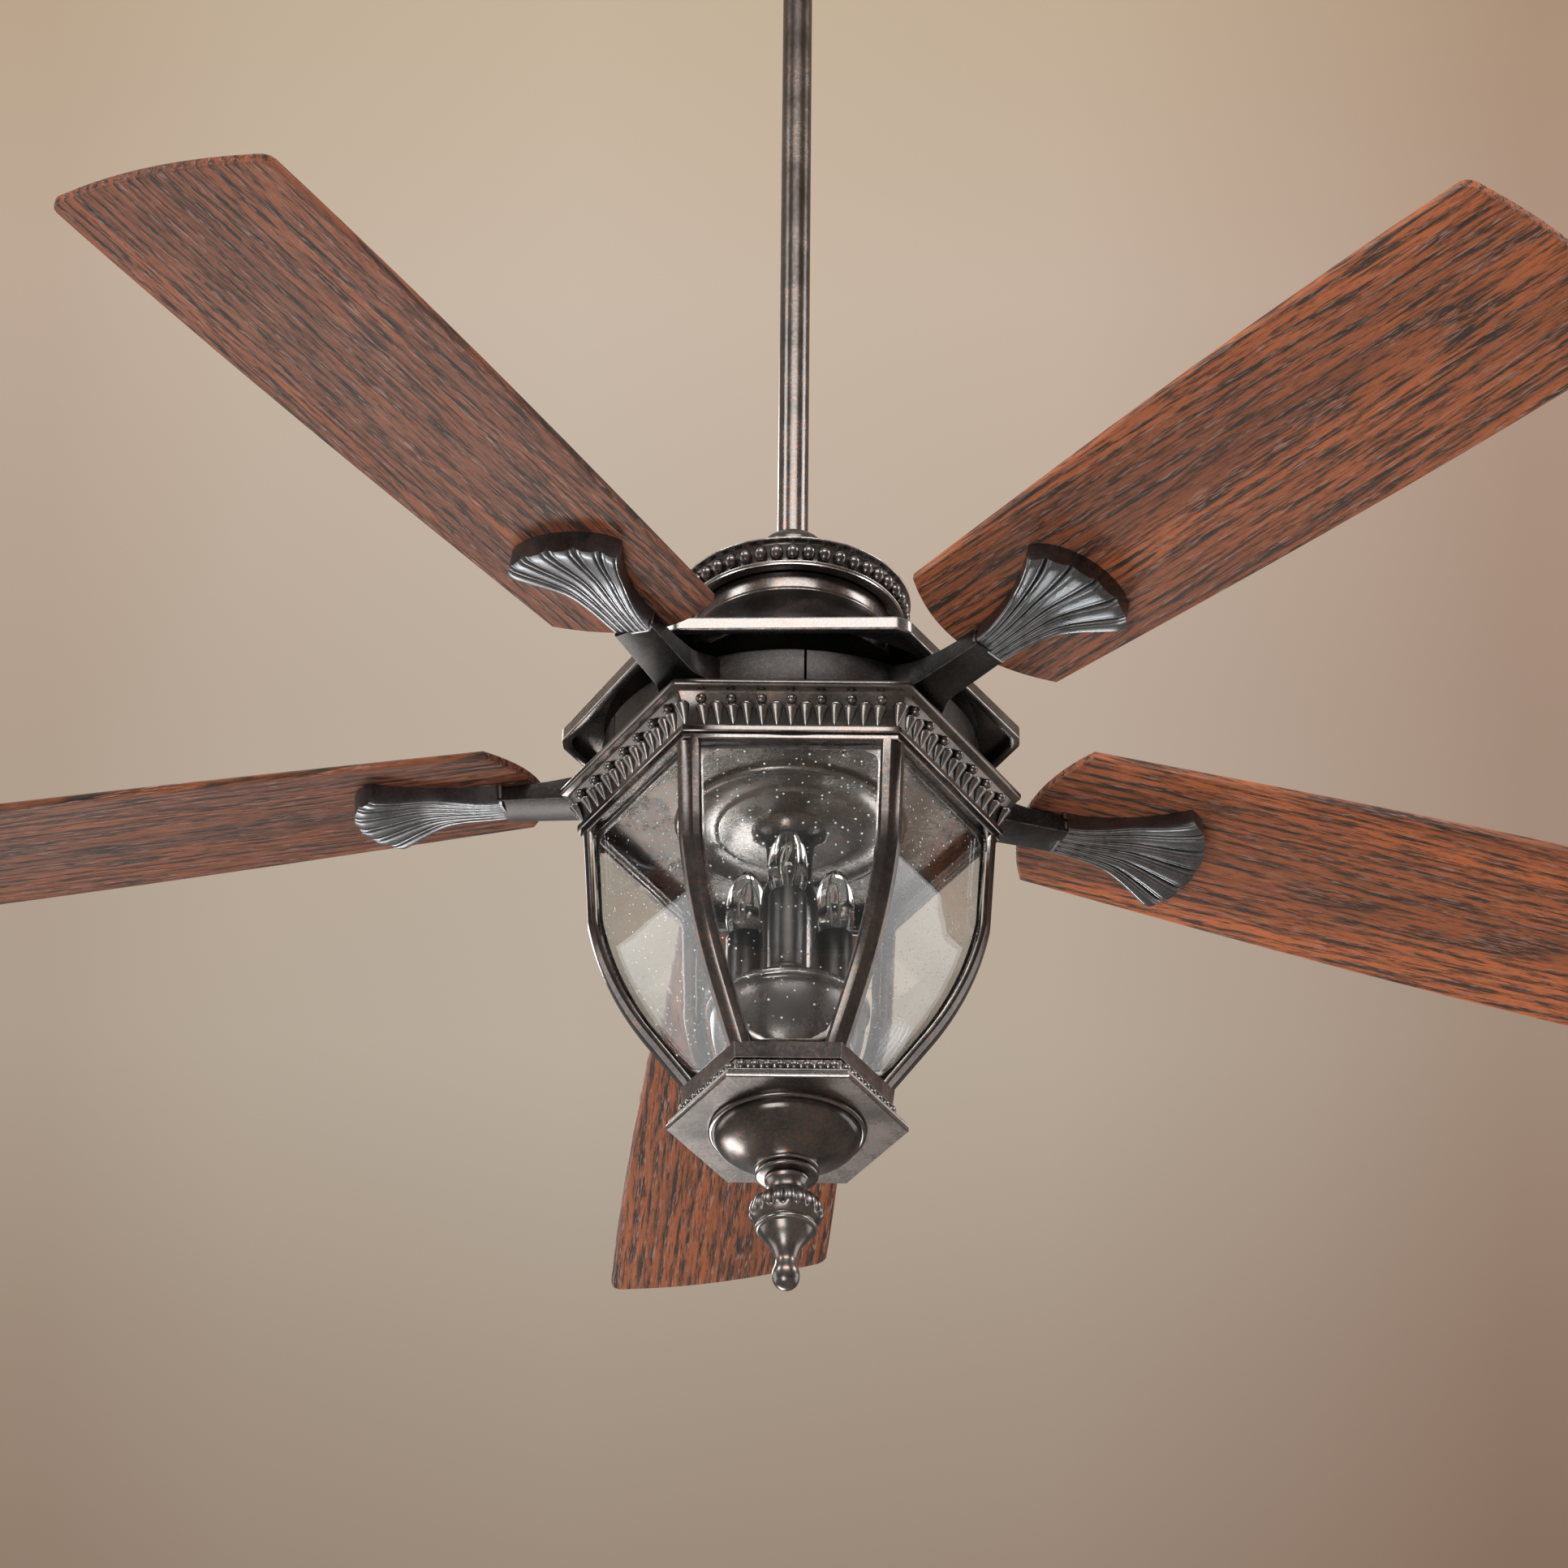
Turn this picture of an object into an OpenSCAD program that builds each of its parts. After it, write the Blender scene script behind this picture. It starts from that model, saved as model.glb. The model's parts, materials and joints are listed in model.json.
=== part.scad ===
// Five-blade ceiling fan with a six-sided glass lantern, hung on a downrod.
// Origin: centre of the ceiling face, +Z up. Most pieces are drawn about the
// hub, a point on the axis in the plane of the blades, and moved by at_hub().

/* [Suspension] */
// Depth of the hanger ball's centre below the ceiling
ball_depth = 48; // [44:1:54]
// Radius of the hanger ball
ball_r = 24; // [22:0.5:25]
// Length of the downrod
rod_len = 609.6; // [450:0.1:900]
// Outer radius of the downrod
rod_r = 9.525; // [9:0.005:10]
// How far the downrod stands above the ball's centre
rod_above_ball = 18; // [14:1:20]
// Spacing of the two holes that hold the bracket to the ceiling box
box_spacing = 88.9; // [82:0.1:92]
// Radius of the canopy at the ceiling
canopy_r = 75; // [72:1:85]
// Height of the canopy
canopy_h = 72; // [70:1:78]

/* [Motor housing] */
// Radius of the beaded cap
cap_r = 73.6; // [70:0.1:78]
// Beads around the cap
cap_beads = 44; // [36:1:48]
// Radius of the neck under the cap
neck_r = 62; // [60:1:64]
// Corner radius of the six-sided roof plate
roof_r = 142; // [138:1:146]
// Turn of the roof plate about the axis
roof_turn = -1.5; // [-4:0.5:4]
// Radius of the spinning motor case
case_r = 78; // [74:1:79]

/* [Blades] */
// Radius from the axis to the blade tips
tip_r = 660.4; // [600:0.1:700]
// Radius from the axis to the corners of the blade root
root_r = 178; // [174:1:182]
// Blade width at the root
root_w = 116; // [108:1:124]
// Blade width at the tip
tip_w = 151; // [140:1:160]
// Blade thickness
blade_t = 6; // [5:0.5:7]
// Pitch of the blades
pitch = -11.2; // [-14:0.1:-8]
// Azimuth of the first blade
first_blade = 22.1; // [0:0.1:72]

/* [Blade irons] */
// Outer radius of the ring that the irons' feet make
foot_r = 115; // [112:1:118]
// Radius of the collar where the shell begins
collar_r = 178; // [174:1:182]
// Radius of the shell's outer arc
shell_r = 273; // [260:1:280]
// Width of the shell
shell_w = 78; // [74:1:86]
// Depth of the shell under the blade
shell_depth = 15; // [12:1:16]
// Sideways place of the shell and the collar under the pitched blade
shell_shift = 4.5; // [0:0.5:6]

/* [Lantern] */
// Corner radius of the crown's upper lip
crown_r = 140.4; // [138:0.1:144]
// Corner radius of the crown's lower lip
crown_low_r = 128.9; // [127:0.1:131]
// Corner radius of the lantern frame under the crown
frame_r = 124.5; // [122:0.1:126]
// Corner radius where the glass starts to curve in
bend_r = 120.5; // [119:0.1:122]
// Radius of the curved part of the ribs
bend_arc = 200; // [190:1:210]
// Width of the six ribs
rib_w = 15; // [12:1:18]
// Thickness of the glass
glass_t = 3; // [2.5:0.5:4]
// Corner radius of the bottom plate
plate_r = 71.4; // [70:0.1:74]

/* [Lamps] */
// Radius of the circle that the three candles stand on
candle_circle = 31; // [29:0.5:32]
// Outer radius of a candle sleeve
candle_r = 11.6; // [11:0.1:12]
// Azimuth of the first candle
first_candle = 268; // [264:1:276]
// Radius of the lamp cup's rim
cup_r = 48; // [47:1:50]
// Radius of the bulbs
bulb_r = 12; // [11:0.1:12.5]

/* [Hidden] */

$fn = 72;
eps = 0.01;
fit = 0.05;           // radial clearance of a close fit
gap = 0.3;            // clearance between neighbours that move
fine = 24;            // sides of small round things

// Suspension, worked out from the rod
rod_foot_z = 120.4;
rod_top_z = rod_foot_z + rod_len;
drop = ball_depth - rod_above_ball + rod_top_z;
ball_z = drop - ball_depth;
rod_bore_r = 7.5;
cross_pin_r = 3.15;
clevis_z = 133;
bracket_t = 2.5;
tab_y = 67;
canopy_hole_r = 27;

// Motor, from the top down
cap_top_z = 110.9;
cap_low_z = 92.7;
neck_low_z = 81.6;
wall = 2.5;
roof_top_z = 16.4;
roof_low_z = 7;
roof_hole_r = 112;
shaft_r = 8.5;
shaft_bore_r = 4.6;
race_r = 20;
race_in_r = 11;
race_out_r = 17.4;
bearing_ball_r = 3;
bearing_w = 12;
bearing_z = [3, 46];
flange_r = 104;
switch_z = 87;

// Irons and blades
blades = 5;
step_a = 360 / blades;
foot_in_r = 70;
foot_top_z = -1;
foot_low_z = -24;
foot_half_a = 35.8;
foot_screw_r = 80;
foot_screw_a = 18;
shell_pads = [[198, shell_shift], [240, shell_shift - 18], [240, shell_shift + 18]];
shell_arc_x = 250;    // centre of the shell's outer arc
shell_root = 12;      // half width of the shell at the collar
shell_flare = 1.9;    // how late the shell's sides flare out
collar_w = 26;
collar_low_z = -17;
bar_w = 25;
bar_foot_w = 42;
bar_shift = 2.2;      // sideways place of the bar's outer end
bar_top_z = -6.5;
root_bulge = 20;
tip_bulge = 7.4;

// Lantern heights
sides = 6;
side_a = 360 / sides;
pan_z = -28;
crown_top_z = -27;
crown_low_z = -58.3;
ring_t = 3.7;
frame_top_z = crown_low_z - ring_t;
bend_z = -125;
bend_a0 = 11;
bend_a1 = 36.5;
band_top_z = -237;
band_low_z = -248;
rib_t = 5;
cap_z = band_low_z - gap;
plate_low_z = -266;
dome_low_z = -299;
pipe_r = 4.8;
pipe_low_z = -322;
lid_z = -179.5;
sleeve_top_z = -122;
bulb_top_z = -76;
ceiling_z = -54;

function arc(cx, cz, rx, rz, a0, a1, n) =
    [for (i = [0:n]) let (a = a0 + (a1 - a0) * i / n) [cx + rx * cos(a), cz + rz * sin(a)]];
function rev(p) = [for (i = [len(p) - 1:-1:0]) p[i]];
function shift(p, dr, dz) = [for (q = p) [q[0] + dr, q[1] + dz]];

module at_hub() translate([0, 0, -drop]) children();
module ring(r_out, r_in, z0, z1) {
    difference() {
        translate([0, 0, z0]) cylinder(r = r_out, h = z1 - z0);
        translate([0, 0, z0 - 1]) cylinder(r = r_in, h = z1 - z0 + 2);
    }
}
module rod(r, z0, z1) translate([0, 0, z0]) cylinder(r = r, h = z1 - z0);
module cross_rod(r, half, z) {
    translate([-half, 0, z]) rotate([0, 90, 0]) cylinder(r = r, h = 2 * half, $fn = fine * 2);
}
module around(n, a0 = 0) for (i = [0:n - 1]) rotate([0, 0, a0 + i * 360 / n]) children();
module turned(points) rotate_extrude() polygon(points);
module six_sided(points) rotate_extrude($fn = sides) polygon(points);

// Ceiling bracket with a seat for the ball; the seat is open on one side for the rod
module hanger_bracket() color("dimgray") difference() {
    union() {
        rod(56, -bracket_t, 0);
        for (s = [-1, 1]) {
            translate([s * 35.5 - 1.5, -13, -ball_depth - 10]) cube([3, 26, ball_depth + 10]);
            translate([-10, s * 58 - 10, -bracket_t]) cube([20, 20, bracket_t]);
            translate([-10, s * tab_y - 1, -24]) cube([20, 2, 24]);
        }
        rod(37, -ball_depth - 17, -ball_depth - 3);
    }
    translate([0, 0, -ball_depth]) sphere(r = ball_r + gap);
    rod(26, -bracket_t - 1, 1);
    translate([-11, 0, -ball_depth - 20]) cube([22, 45, 19]);
    for (s = [-1, 1]) {
        translate([s * box_spacing / 2, 0, -bracket_t - 1]) cylinder(r = 2.6, h = bracket_t + 2);
        translate([0, s * tab_y - 3, -14]) rotate([-90, 0, 0]) cylinder(r = 2.1, h = 6, $fn = fine);
    }
}

function canopy_line() = concat(
    [[canopy_r, -0.5], [canopy_r, -6], [canopy_r - 2, -8]],
    arc(canopy_hole_r + 3, -8, canopy_r - canopy_hole_r - 4, canopy_h - 8, -2, -90, 16));
module canopy() color("#3a3331") difference() {
    turned(concat([[0, -0.5]], canopy_line(), [[0, -canopy_h]]));
    turned(concat([[0, 1]], shift(canopy_line(), -1.6, 1.6), [[0, 1.6 - canopy_h]]));
    rod(canopy_hole_r, -canopy_h - 1, -canopy_h + 3);
    around(2, 90) translate([canopy_r - 8, 0, -14]) rotate([0, 90, 0]) cylinder(r = 2.1, h = 12, $fn = fine);
}
module canopy_screws() color("#4a423e") around(2, 90) translate([tab_y - 3, 0, -14]) rotate([0, 90, 0]) {
    cylinder(r = 1.95, h = canopy_r - tab_y + 2.2, $fn = fine);
    translate([0, 0, canopy_r - tab_y + 2.2]) cylinder(r = 4, h = 2, $fn = fine);
}

module hanger_ball() at_hub() color("#2a2a2a") difference() {
    translate([0, 0, ball_z]) sphere(r = ball_r);
    rod(rod_r + fit, ball_z - ball_r - 1, ball_z + ball_r + 1);
    cross_rod(cross_pin_r + fit, ball_r + 1, ball_z);
    rod(ball_r, ball_z + 14, ball_z + ball_r + 1);
}
module ball_pin() at_hub() color("silver") cross_rod(cross_pin_r, 20, ball_z);
module downrod() at_hub() color("#3a3331") difference() {
    ring(rod_r, rod_bore_r, rod_foot_z, rod_top_z);
    cross_rod(cross_pin_r + fit, rod_r + 5, ball_z);
    cross_rod(cross_pin_r + fit, rod_r + 5, clevis_z);
}
module lead_wires() at_hub() color("whitesmoke")
    for (x = [-1.4, 1.4], y = [-5.3, 5.3]) translate([x, y, 0]) {
        translate([0, 0, rod_foot_z]) cylinder(r = 1.1, h = rod_len + 8, $fn = fine);
    }

// Trumpet-shaped cover over the coupling
function cover_line() = concat(
    arc(12, 150, 8, 8, 90, 0, 6), arc(40, cap_top_z + 37, 20, 35, 180, 270, 12));
module coupling_cover() at_hub() color("#3a3331")
    turned(concat(
        [[rod_r + 0.6, 156.4], [rod_r + 0.6, 158]], cover_line(), rev(shift(cover_line(), -1.6, -1.6 + eps)),
        [[12, 156.4]]));
module yoke() at_hub() color("dimgray") difference() {
    union() {
        rod(14.5, 96, 148);
        rod(30, cap_low_z, 97);
    }
    rod(rod_r + fit, rod_foot_z - 1.4, 149);
    rod(6, 110, rod_foot_z);
    rod(shaft_r + fit, cap_low_z - 1, 112);
    cross_rod(cross_pin_r + fit, 16, clevis_z);
    around(3, 30) translate([23, 0, cap_low_z - 1]) cylinder(r = 2.6, h = 6, $fn = fine);
}
module clevis_pin() at_hub() color("silver") union() {
    cross_rod(cross_pin_r, 16.5, clevis_z);
    translate([16, 0, clevis_z]) rotate([0, 90, 0]) cylinder(r = 4.5, h = 2, $fn = fine);
}

// Shallow pan with a ring of pearls between two lips
module beaded_cap() at_hub() color("#4a423e") union() {
    turned([
        [16.5, cap_top_z - 2.4], [16.5, cap_top_z], [cap_r - 2, cap_top_z], [cap_r - 0.6, cap_top_z - 0.7],
        [cap_r - 2, cap_top_z - 1.6], [69, cap_top_z - 2.4], [66, cap_low_z + 3.4], [69.5, cap_low_z + 2],
        [69.5, cap_low_z], [63, cap_low_z], [63, cap_low_z + 3], [66, cap_top_z - 3]
    ]);
    around(cap_beads) translate([cap_r - 5.6, 0, 102.2]) sphere(r = 4.9, $fn = fine);
}

bell_n = 14;
bell_turn = 18;
// Gently hollow flare from the neck down to the roof plate
function bell_line() = [for (i = [0:bell_n])
    let (t = i / bell_n, dr = roof_hole_r + 7 - neck_r, dz = roof_top_z - neck_low_z, sag = bell_turn * t * (1 - t))
    [neck_r + dr * t + sag * dz / 90, neck_low_z + dz * t - sag * dr / 90]];
module motor_housing() at_hub() color("#3a3331") difference() {
    union() {
        turned(concat(
            [[shaft_r + 0.6, cap_low_z - wall], [shaft_r + 0.6, cap_low_z], [neck_r, cap_low_z]], bell_line(),
            rev(shift(bell_line(), -wall, -wall)), [[neck_r - wall, cap_low_z - wall]]));
        difference() {
            intersection() {
                rotate([0, 0, roof_turn]) translate([0, 0, roof_low_z])
                    cylinder(r = roof_r, h = roof_top_z - roof_low_z, $fn = sides);
                rod(roof_r - 2.5, roof_low_z - 1, roof_top_z + 1);
            }
            rotate([0, 0, roof_turn]) translate([0, 0, roof_low_z - 1])
                cylinder(r = roof_r - 6, h = roof_top_z - roof_low_z - wall + 1, $fn = sides);
            rod(roof_hole_r, roof_low_z, roof_top_z + 1);
        }
    }
    around(3, 30) translate([23, 0, cap_low_z - 4]) cylinder(r = 2.6, h = 6, $fn = fine);
    translate([-6, neck_r - 4, switch_z - 2.2]) cube([12, 6, 4.4]);
}
module housing_screws() at_hub() color("silver") around(3, 30) translate([23, 0, 0]) {
    rod(2.5, 86, 97);
    rod(4.5, 97, 100);
    translate([0, 0, 87]) cylinder(r = 4.6, h = 3.2, $fn = sides);
}

module motor_shaft() at_hub() color("silver") ring(shaft_r, shaft_bore_r, -27, 112);
module stator_core() at_hub() color("slategray") union() {
    ring(60.5, shaft_r + fit, 18, 36);
    ring(17, shaft_r + fit, 15, 46);
}
module stator_windings() at_hub() color("#b5651d") for (z = [[10, 18], [36, 43]])
    around(12) intersection() {
        ring(56, 34, z[0], z[1]);
        translate([30, -8, z[0]]) cube([30, 16, z[1] - z[0]]);
    }
module bearing_inner_races() at_hub() color("silver")
    for (z = bearing_z) ring(race_in_r, shaft_r + fit, z, z + bearing_w);
module reverse_switch_box() at_hub() color("#202020")
    translate([-9, 45, switch_z - 4.5]) cube([18, 11, 7.5]);
module reverse_switch_slider() at_hub() color("#202020") union() {
    translate([-8, 56.2, switch_z - 3.8]) cube([16, 1.6, 6.6]);
    translate([-2.5, 57, switch_z - 1.8]) cube([5, 7.5, 3.6]);
}

module rotor_lower_case() at_hub() color("#3a3331") difference() {
    turned([
        [12.5, -1], [flange_r, -1], [flange_r, 3], [case_r, 3], [case_r, 20], [case_r - 2, 20], [case_r - 2, 3],
        [25, 3], [25, 14], [race_r, 14], [race_r, 3], [12.5, 3]
    ]);
    foot_screw_holes(2.55);
}
module rotor_upper_case() at_hub() color("#3a3331") turned([
    [case_r - 2, 20], [case_r, 20], [case_r, 40], [case_r - 6, 46], [26, 61], [12.5, 61], [12.5, 58],
    [race_r, 58], [race_r, 47], [24, 47], [24, 58], [case_r - 7, 43], [case_r - 2, 38]
]);
module rotor_ring() at_hub() color("slategray") ring(case_r - 2 - fit, 61.5, 12, 38);
module bearing_outer_races() at_hub() color("silver")
    for (z = bearing_z) ring(race_r - fit / 2, race_out_r, z + eps, z + bearing_w - eps);
module bearing_balls() at_hub() color("white") for (z = bearing_z) around(8)
    translate([(race_in_r + race_out_r) / 2, 0, z + bearing_w / 2]) sphere(r = bearing_ball_r, $fn = fine);

module foot_screw_holes(r) for (i = [0:blades - 1], s = [-1, 1])
    rotate([0, 0, first_blade + i * step_a + s * foot_screw_a]) translate([foot_screw_r, 0, foot_low_z - 1])
        cylinder(r = r, h = 32, $fn = fine);

// Plan of the shell: narrow at the collar, wide at its outer arc
function shell_edge(n) = [for (i = [0:n]) let (t = i / n)
    [collar_r + (shell_arc_x - collar_r) * t, shell_root + (shell_w / 2 - shell_root) * pow(t, shell_flare)]];
module shell_plan() translate([0, shell_shift]) polygon(concat(
    shell_edge(8), arc(shell_arc_x, 0, shell_r - shell_arc_x, shell_w / 2, 80, -80, 12),
    [for (p = rev(shell_edge(8))) [p[0], -p[1]]]));
module blade_arm(k) at_hub() color("#4b5054") rotate([0, 0, first_blade + (k - 1) * step_a]) difference() {
    union() {
        rotate([0, 0, -foot_half_a]) rotate_extrude(angle = 2 * foot_half_a) polygon([
            [foot_in_r, foot_low_z], [foot_r, foot_low_z], [foot_r, foot_top_z], [foot_r - 5, foot_top_z],
            [foot_r - 5, foot_low_z + 5], [90, foot_low_z + 5], [90, foot_top_z], [foot_in_r, foot_top_z]]);
        intersection() {
            rotate([90, 0, 0]) linear_extrude(2 * bar_foot_w, center = true)
                polygon([
                    [foot_r - 4, foot_low_z + 1], [collar_r + 4, collar_low_z], [collar_r + 4, bar_top_z],
                    [150, bar_top_z], [foot_r - 4, foot_top_z - 2]]);
            translate([0, 0, -40]) linear_extrude(60) polygon([
                [foot_r - 4, -bar_foot_w / 2], [132, -bar_w / 2 - 1], [collar_r + 4, bar_shift - bar_w / 2],
                [collar_r + 4, bar_shift + bar_w / 2], [132, bar_w / 2 + 1], [foot_r - 4, bar_foot_w / 2]]);
        }
        rotate([pitch, 0, 0]) {
            translate([0, 0, -blade_t / 2 - shell_depth]) linear_extrude(shell_depth) shell_plan();
            translate([collar_r, shell_shift - collar_w / 2, collar_low_z])
                cube([5, collar_w, -blade_t / 2 - collar_low_z]);
        }
    }
    for (s = [-1, 1]) rotate([0, 0, s * foot_screw_a]) translate([foot_screw_r, 0, 0]) {
        rod(2.7, foot_low_z - 1, 0);
        rod(5.4, foot_low_z - 1, foot_low_z + 3.5);
    }
    rotate([pitch, 0, 0]) for (p = shell_pads) translate([p[0], p[1], -blade_t / 2 - 8])
        cylinder(r = 2.4, h = 10, $fn = fine);
}

// Plan of a blade along +X: bowed root, sides that widen to the tip, bowed tip
function blade_half(t) = (root_w + (tip_w - root_w) * sin(90 * t)) / 2;
corner_r = 9;
side_end = tip_r - tip_bulge - corner_r;
module blade_plan() {
    edge = [for (i = [0:10]) let (t = i / 10) [root_r + (side_end - root_r) * t, blade_half(t)]];
    corner = arc(side_end, tip_w / 2 - corner_r, corner_r, corner_r, 80, 10, 4);
    tip = [for (i = [-4:4]) let (v = i / 5) [tip_r - tip_bulge * v * v, -v * (tip_w / 2 - corner_r)]];
    root = [for (i = [-5:5]) let (v = i / 6) [root_r - root_bulge * (1 - v * v), v * root_w / 2]];
    polygon(concat(edge, corner, tip, [for (p = rev(corner)) [p[0], -p[1]]],
        [for (p = rev(edge)) [p[0], -p[1]]], root));
}
module blade(k) at_hub() color("#965032")
    rotate([0, 0, first_blade + (k - 1) * step_a]) rotate([pitch, 0, 0]) difference() {
        translate([0, 0, -blade_t / 2]) linear_extrude(blade_t) blade_plan();
        for (p = shell_pads) translate([p[0], p[1], -blade_t]) cylinder(r = 2.6, h = 2 * blade_t, $fn = fine);
    }
// Two screws hold each iron's foot to the case, three hold each blade to its iron
module rotor_screws() at_hub() color("dimgray") around(blades, first_blade) {
    for (s = [-1, 1]) rotate([0, 0, s * foot_screw_a]) translate([foot_screw_r, 0, 0]) {
        rod(2.5, foot_low_z + 3.5, 3);
        rod(4.6, foot_low_z + 0.8, foot_low_z + 3.5);
    }
    rotate([pitch, 0, 0]) for (p = shell_pads) translate([p[0], p[1], 0]) {
        rod(2.3, -blade_t / 2 - 7, blade_t / 2);
        rod(5, blade_t / 2, blade_t / 2 + 2);
    }
}

// Light kit: pan on the motor shaft, crown screwed up to the pan
module light_pan() at_hub() color("dimgray") difference() {
    union() {
        translate([0, 0, pan_z - wall]) cylinder(r = 118, h = wall, $fn = sides);
        rod(14, pan_z - wall, -9);
    }
    rod(shaft_r + fit, -27, 0);
    rod(pipe_r + fit, pan_z - wall - 1, -26);
    around(3, 30) translate([96, 0, pan_z - 4]) cylinder(r = 2.1, h = 6, $fn = fine);
}
module crown_ring() at_hub() color("#4a423e") difference() {
    six_sided([
        [crown_r - 2.4, crown_top_z], [crown_r, crown_top_z - 2], [crown_r, crown_top_z - 4],
        [crown_r - 3, crown_top_z - 6], [crown_low_r - 2, crown_low_z + 5], [crown_low_r, crown_low_z + 4],
        [crown_low_r, crown_low_z], [crown_low_r - 7, crown_low_z], [crown_low_r - 7, crown_low_z + 5],
        [crown_r - 12, pan_z - 5], [104, pan_z - 5], [104, pan_z - wall], [crown_r - 12, pan_z - wall],
        [crown_r - 8, crown_top_z]
    ]);
    around(3, 30) translate([96, 0, pan_z - 8]) cylinder(r = 2.1, h = 8, $fn = fine);
}
module crown_screws() at_hub() color("silver") around(3, 30) translate([96, 0, 0]) {
    rod(1.95, pan_z - 5, pan_z);
    rod(3.8, pan_z - 7, pan_z - 5);
}
module run_capacitor() at_hub() color("#202020")
    translate([28, -16, pan_z - wall - 15]) cube([46, 32, 15]);
module ceiling_disc() at_hub() color("#5a5654") difference() {
    union() {
        translate([0, 0, ceiling_z]) cylinder(r = crown_low_r - 8, h = 2, $fn = sides);
        turned([[5.2, ceiling_z - 2], [44, ceiling_z - 2], [46, ceiling_z], [61, ceiling_z], [64, ceiling_z - 3],
            [67, ceiling_z - 3], [69, ceiling_z], [69, ceiling_z + 1], [5.2, ceiling_z + 1]]);
    }
    rod(pipe_r + fit, ceiling_z - 3, ceiling_z + 3);
}

// Corner line of the lantern: straight, curved in, then straight to the bottom band
function bend_end() = [bend_r - bend_arc * (cos(bend_a0) - cos(bend_a1)),
    bend_z - bend_arc * (sin(bend_a1) - sin(bend_a0))];
function corner_line() = concat(
    [[frame_r, frame_top_z]],
    [for (i = [0:8]) let (a = bend_a0 + (bend_a1 - bend_a0) * i / 8)
        [bend_r - bend_arc * (cos(bend_a0) - cos(a)), bend_z - bend_arc * (sin(a) - sin(bend_a0))]],
    [[bend_end()[0] - (bend_end()[1] - band_top_z) * tan(bend_a1), band_top_z]]);
module lantern_frame() at_hub() color("#3a3331") union() {
    six_sided([[112, frame_top_z], [126.5, frame_top_z], [126.5, crown_low_z], [112, crown_low_z]]);
    around(sides) rotate([90, 0, 0]) linear_extrude(rib_w, center = true)
        polygon(concat(corner_line(), rev(shift(corner_line(), -rib_t, 0))));
    six_sided([[54, band_low_z], [62, band_low_z], [62.5, band_top_z], [54, band_top_z]]);
}
function glass_line() = [for (p = corner_line()) [(p[0] - rib_t - 0.6) * cos(side_a / 2), p[1]]];
module glass_panel(k) at_hub() color([0.85, 0.88, 0.88, 0.4]) rotate([0, 0, side_a * (k - 0.5)])
    intersection() {
        rotate([90, 0, 0]) linear_extrude(140, center = true)
            polygon(concat(glass_line(), rev(shift(glass_line(), -glass_t, 0))));
        translate([0, 0, band_top_z - 1]) linear_extrude(frame_top_z - band_top_z + 2)
            polygon([[1, 0], [130, 130 * tan(side_a / 2 - 0.15)], [130, -130 * tan(side_a / 2 - 0.15)]]);
    }

function stem_line() = concat(
    arc(26, -74, 12, 18, 100, 180, 6), [[13.2, -92]],
    arc(13.2, -112, 4, 16, 90, 0, 6), [[17.2, lid_z]]);
module center_stem() at_hub() color("#3a3331") turned(concat(
    [[pipe_r + 0.2, lid_z], [pipe_r + 0.2, ceiling_z - 2]], stem_line()));
module lamp_pipe() at_hub() color("silver") ring(pipe_r, 3, pipe_low_z, -27.5);

function cup_line() = concat(
    [[pipe_r + 0.4, lid_z]], [[45, lid_z], [cup_r, lid_z - 3.5]],
    arc(cup_r - 1.5, -185, 1.5, 1.5, 60, -60, 4),
    arc(cup_r - 30, -187, 27, 50, 0, -82, 10), [[16, -240], [15, -245]]);
module lamp_cup() at_hub() color("#5a5654") turned(concat(
    cup_line(), [[pipe_r + 0.4, -245], [pipe_r + 0.4, -242], [12, -242]],
    rev(arc(cup_r - 30, -187, 24.5, 48, 0, -80, 10)), [[42, lid_z - 2.5], [pipe_r + 0.4, lid_z - 2.5]]));

function candle_a(k) = first_candle + (k - 1) * 120;
module at_candle(k) at_hub() rotate([0, 0, candle_a(k)]) translate([candle_circle, 0, 0]) children();
module candle_sleeve(k) at_candle(k) color("#2e2a28") difference() {
    union() {
        rod(candle_r, lid_z, sleeve_top_z);
        rod(candle_r + 1.3, lid_z, lid_z + 3.5);
    }
    rod(candle_r - 1.5, lid_z - 1, sleeve_top_z + 1);
}
module lamp_sockets() for (k = [1:3]) at_candle(k) color("gainsboro") difference() {
    rod(9.6, lid_z, sleeve_top_z - 4);
    rod(6.5, sleeve_top_z - 26, sleeve_top_z);
}
module bulb(k) at_candle(k) color([0.95, 0.95, 0.95, 0.35]) union() {
    rod(6.3, sleeve_top_z - 24, sleeve_top_z + 1);
    turned(concat([[0, sleeve_top_z - 0.5]], arc(0, -106, bulb_r, 21, -50, 0, 8),
        arc(0, -106, bulb_r, -106 - bulb_top_z, 0, -88, 12), [[0, bulb_top_z]]));
}

// Bottom cap: plate and dome slide down the pipe as the finial is unscrewed
module bottom_plate() at_hub() color("#4a423e") difference() {
    six_sided([
        [20, plate_low_z], [plate_r, plate_low_z], [plate_r, plate_low_z + 3.5], [70, plate_low_z + 4],
        [70, plate_low_z + 7], [62.5, plate_low_z + 8], [62.5, cap_z - 1], [60, cap_z], [52, cap_z],
        [50, plate_low_z + 4], [20, plate_low_z + 4]
    ]);
    rod(24, plate_low_z - 1, cap_z + 1);
}
function dome_line() = concat(
    [[46.8, plate_low_z], [46.8, plate_low_z - 2.5]], arc(22, plate_low_z - 3, 22, 14, 0, -62, 7),
    arc(42, dome_low_z + 4, 26, 14, 112, 172, 6),
    [[18.6, dome_low_z + 3], [18.6, dome_low_z]]);
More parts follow.
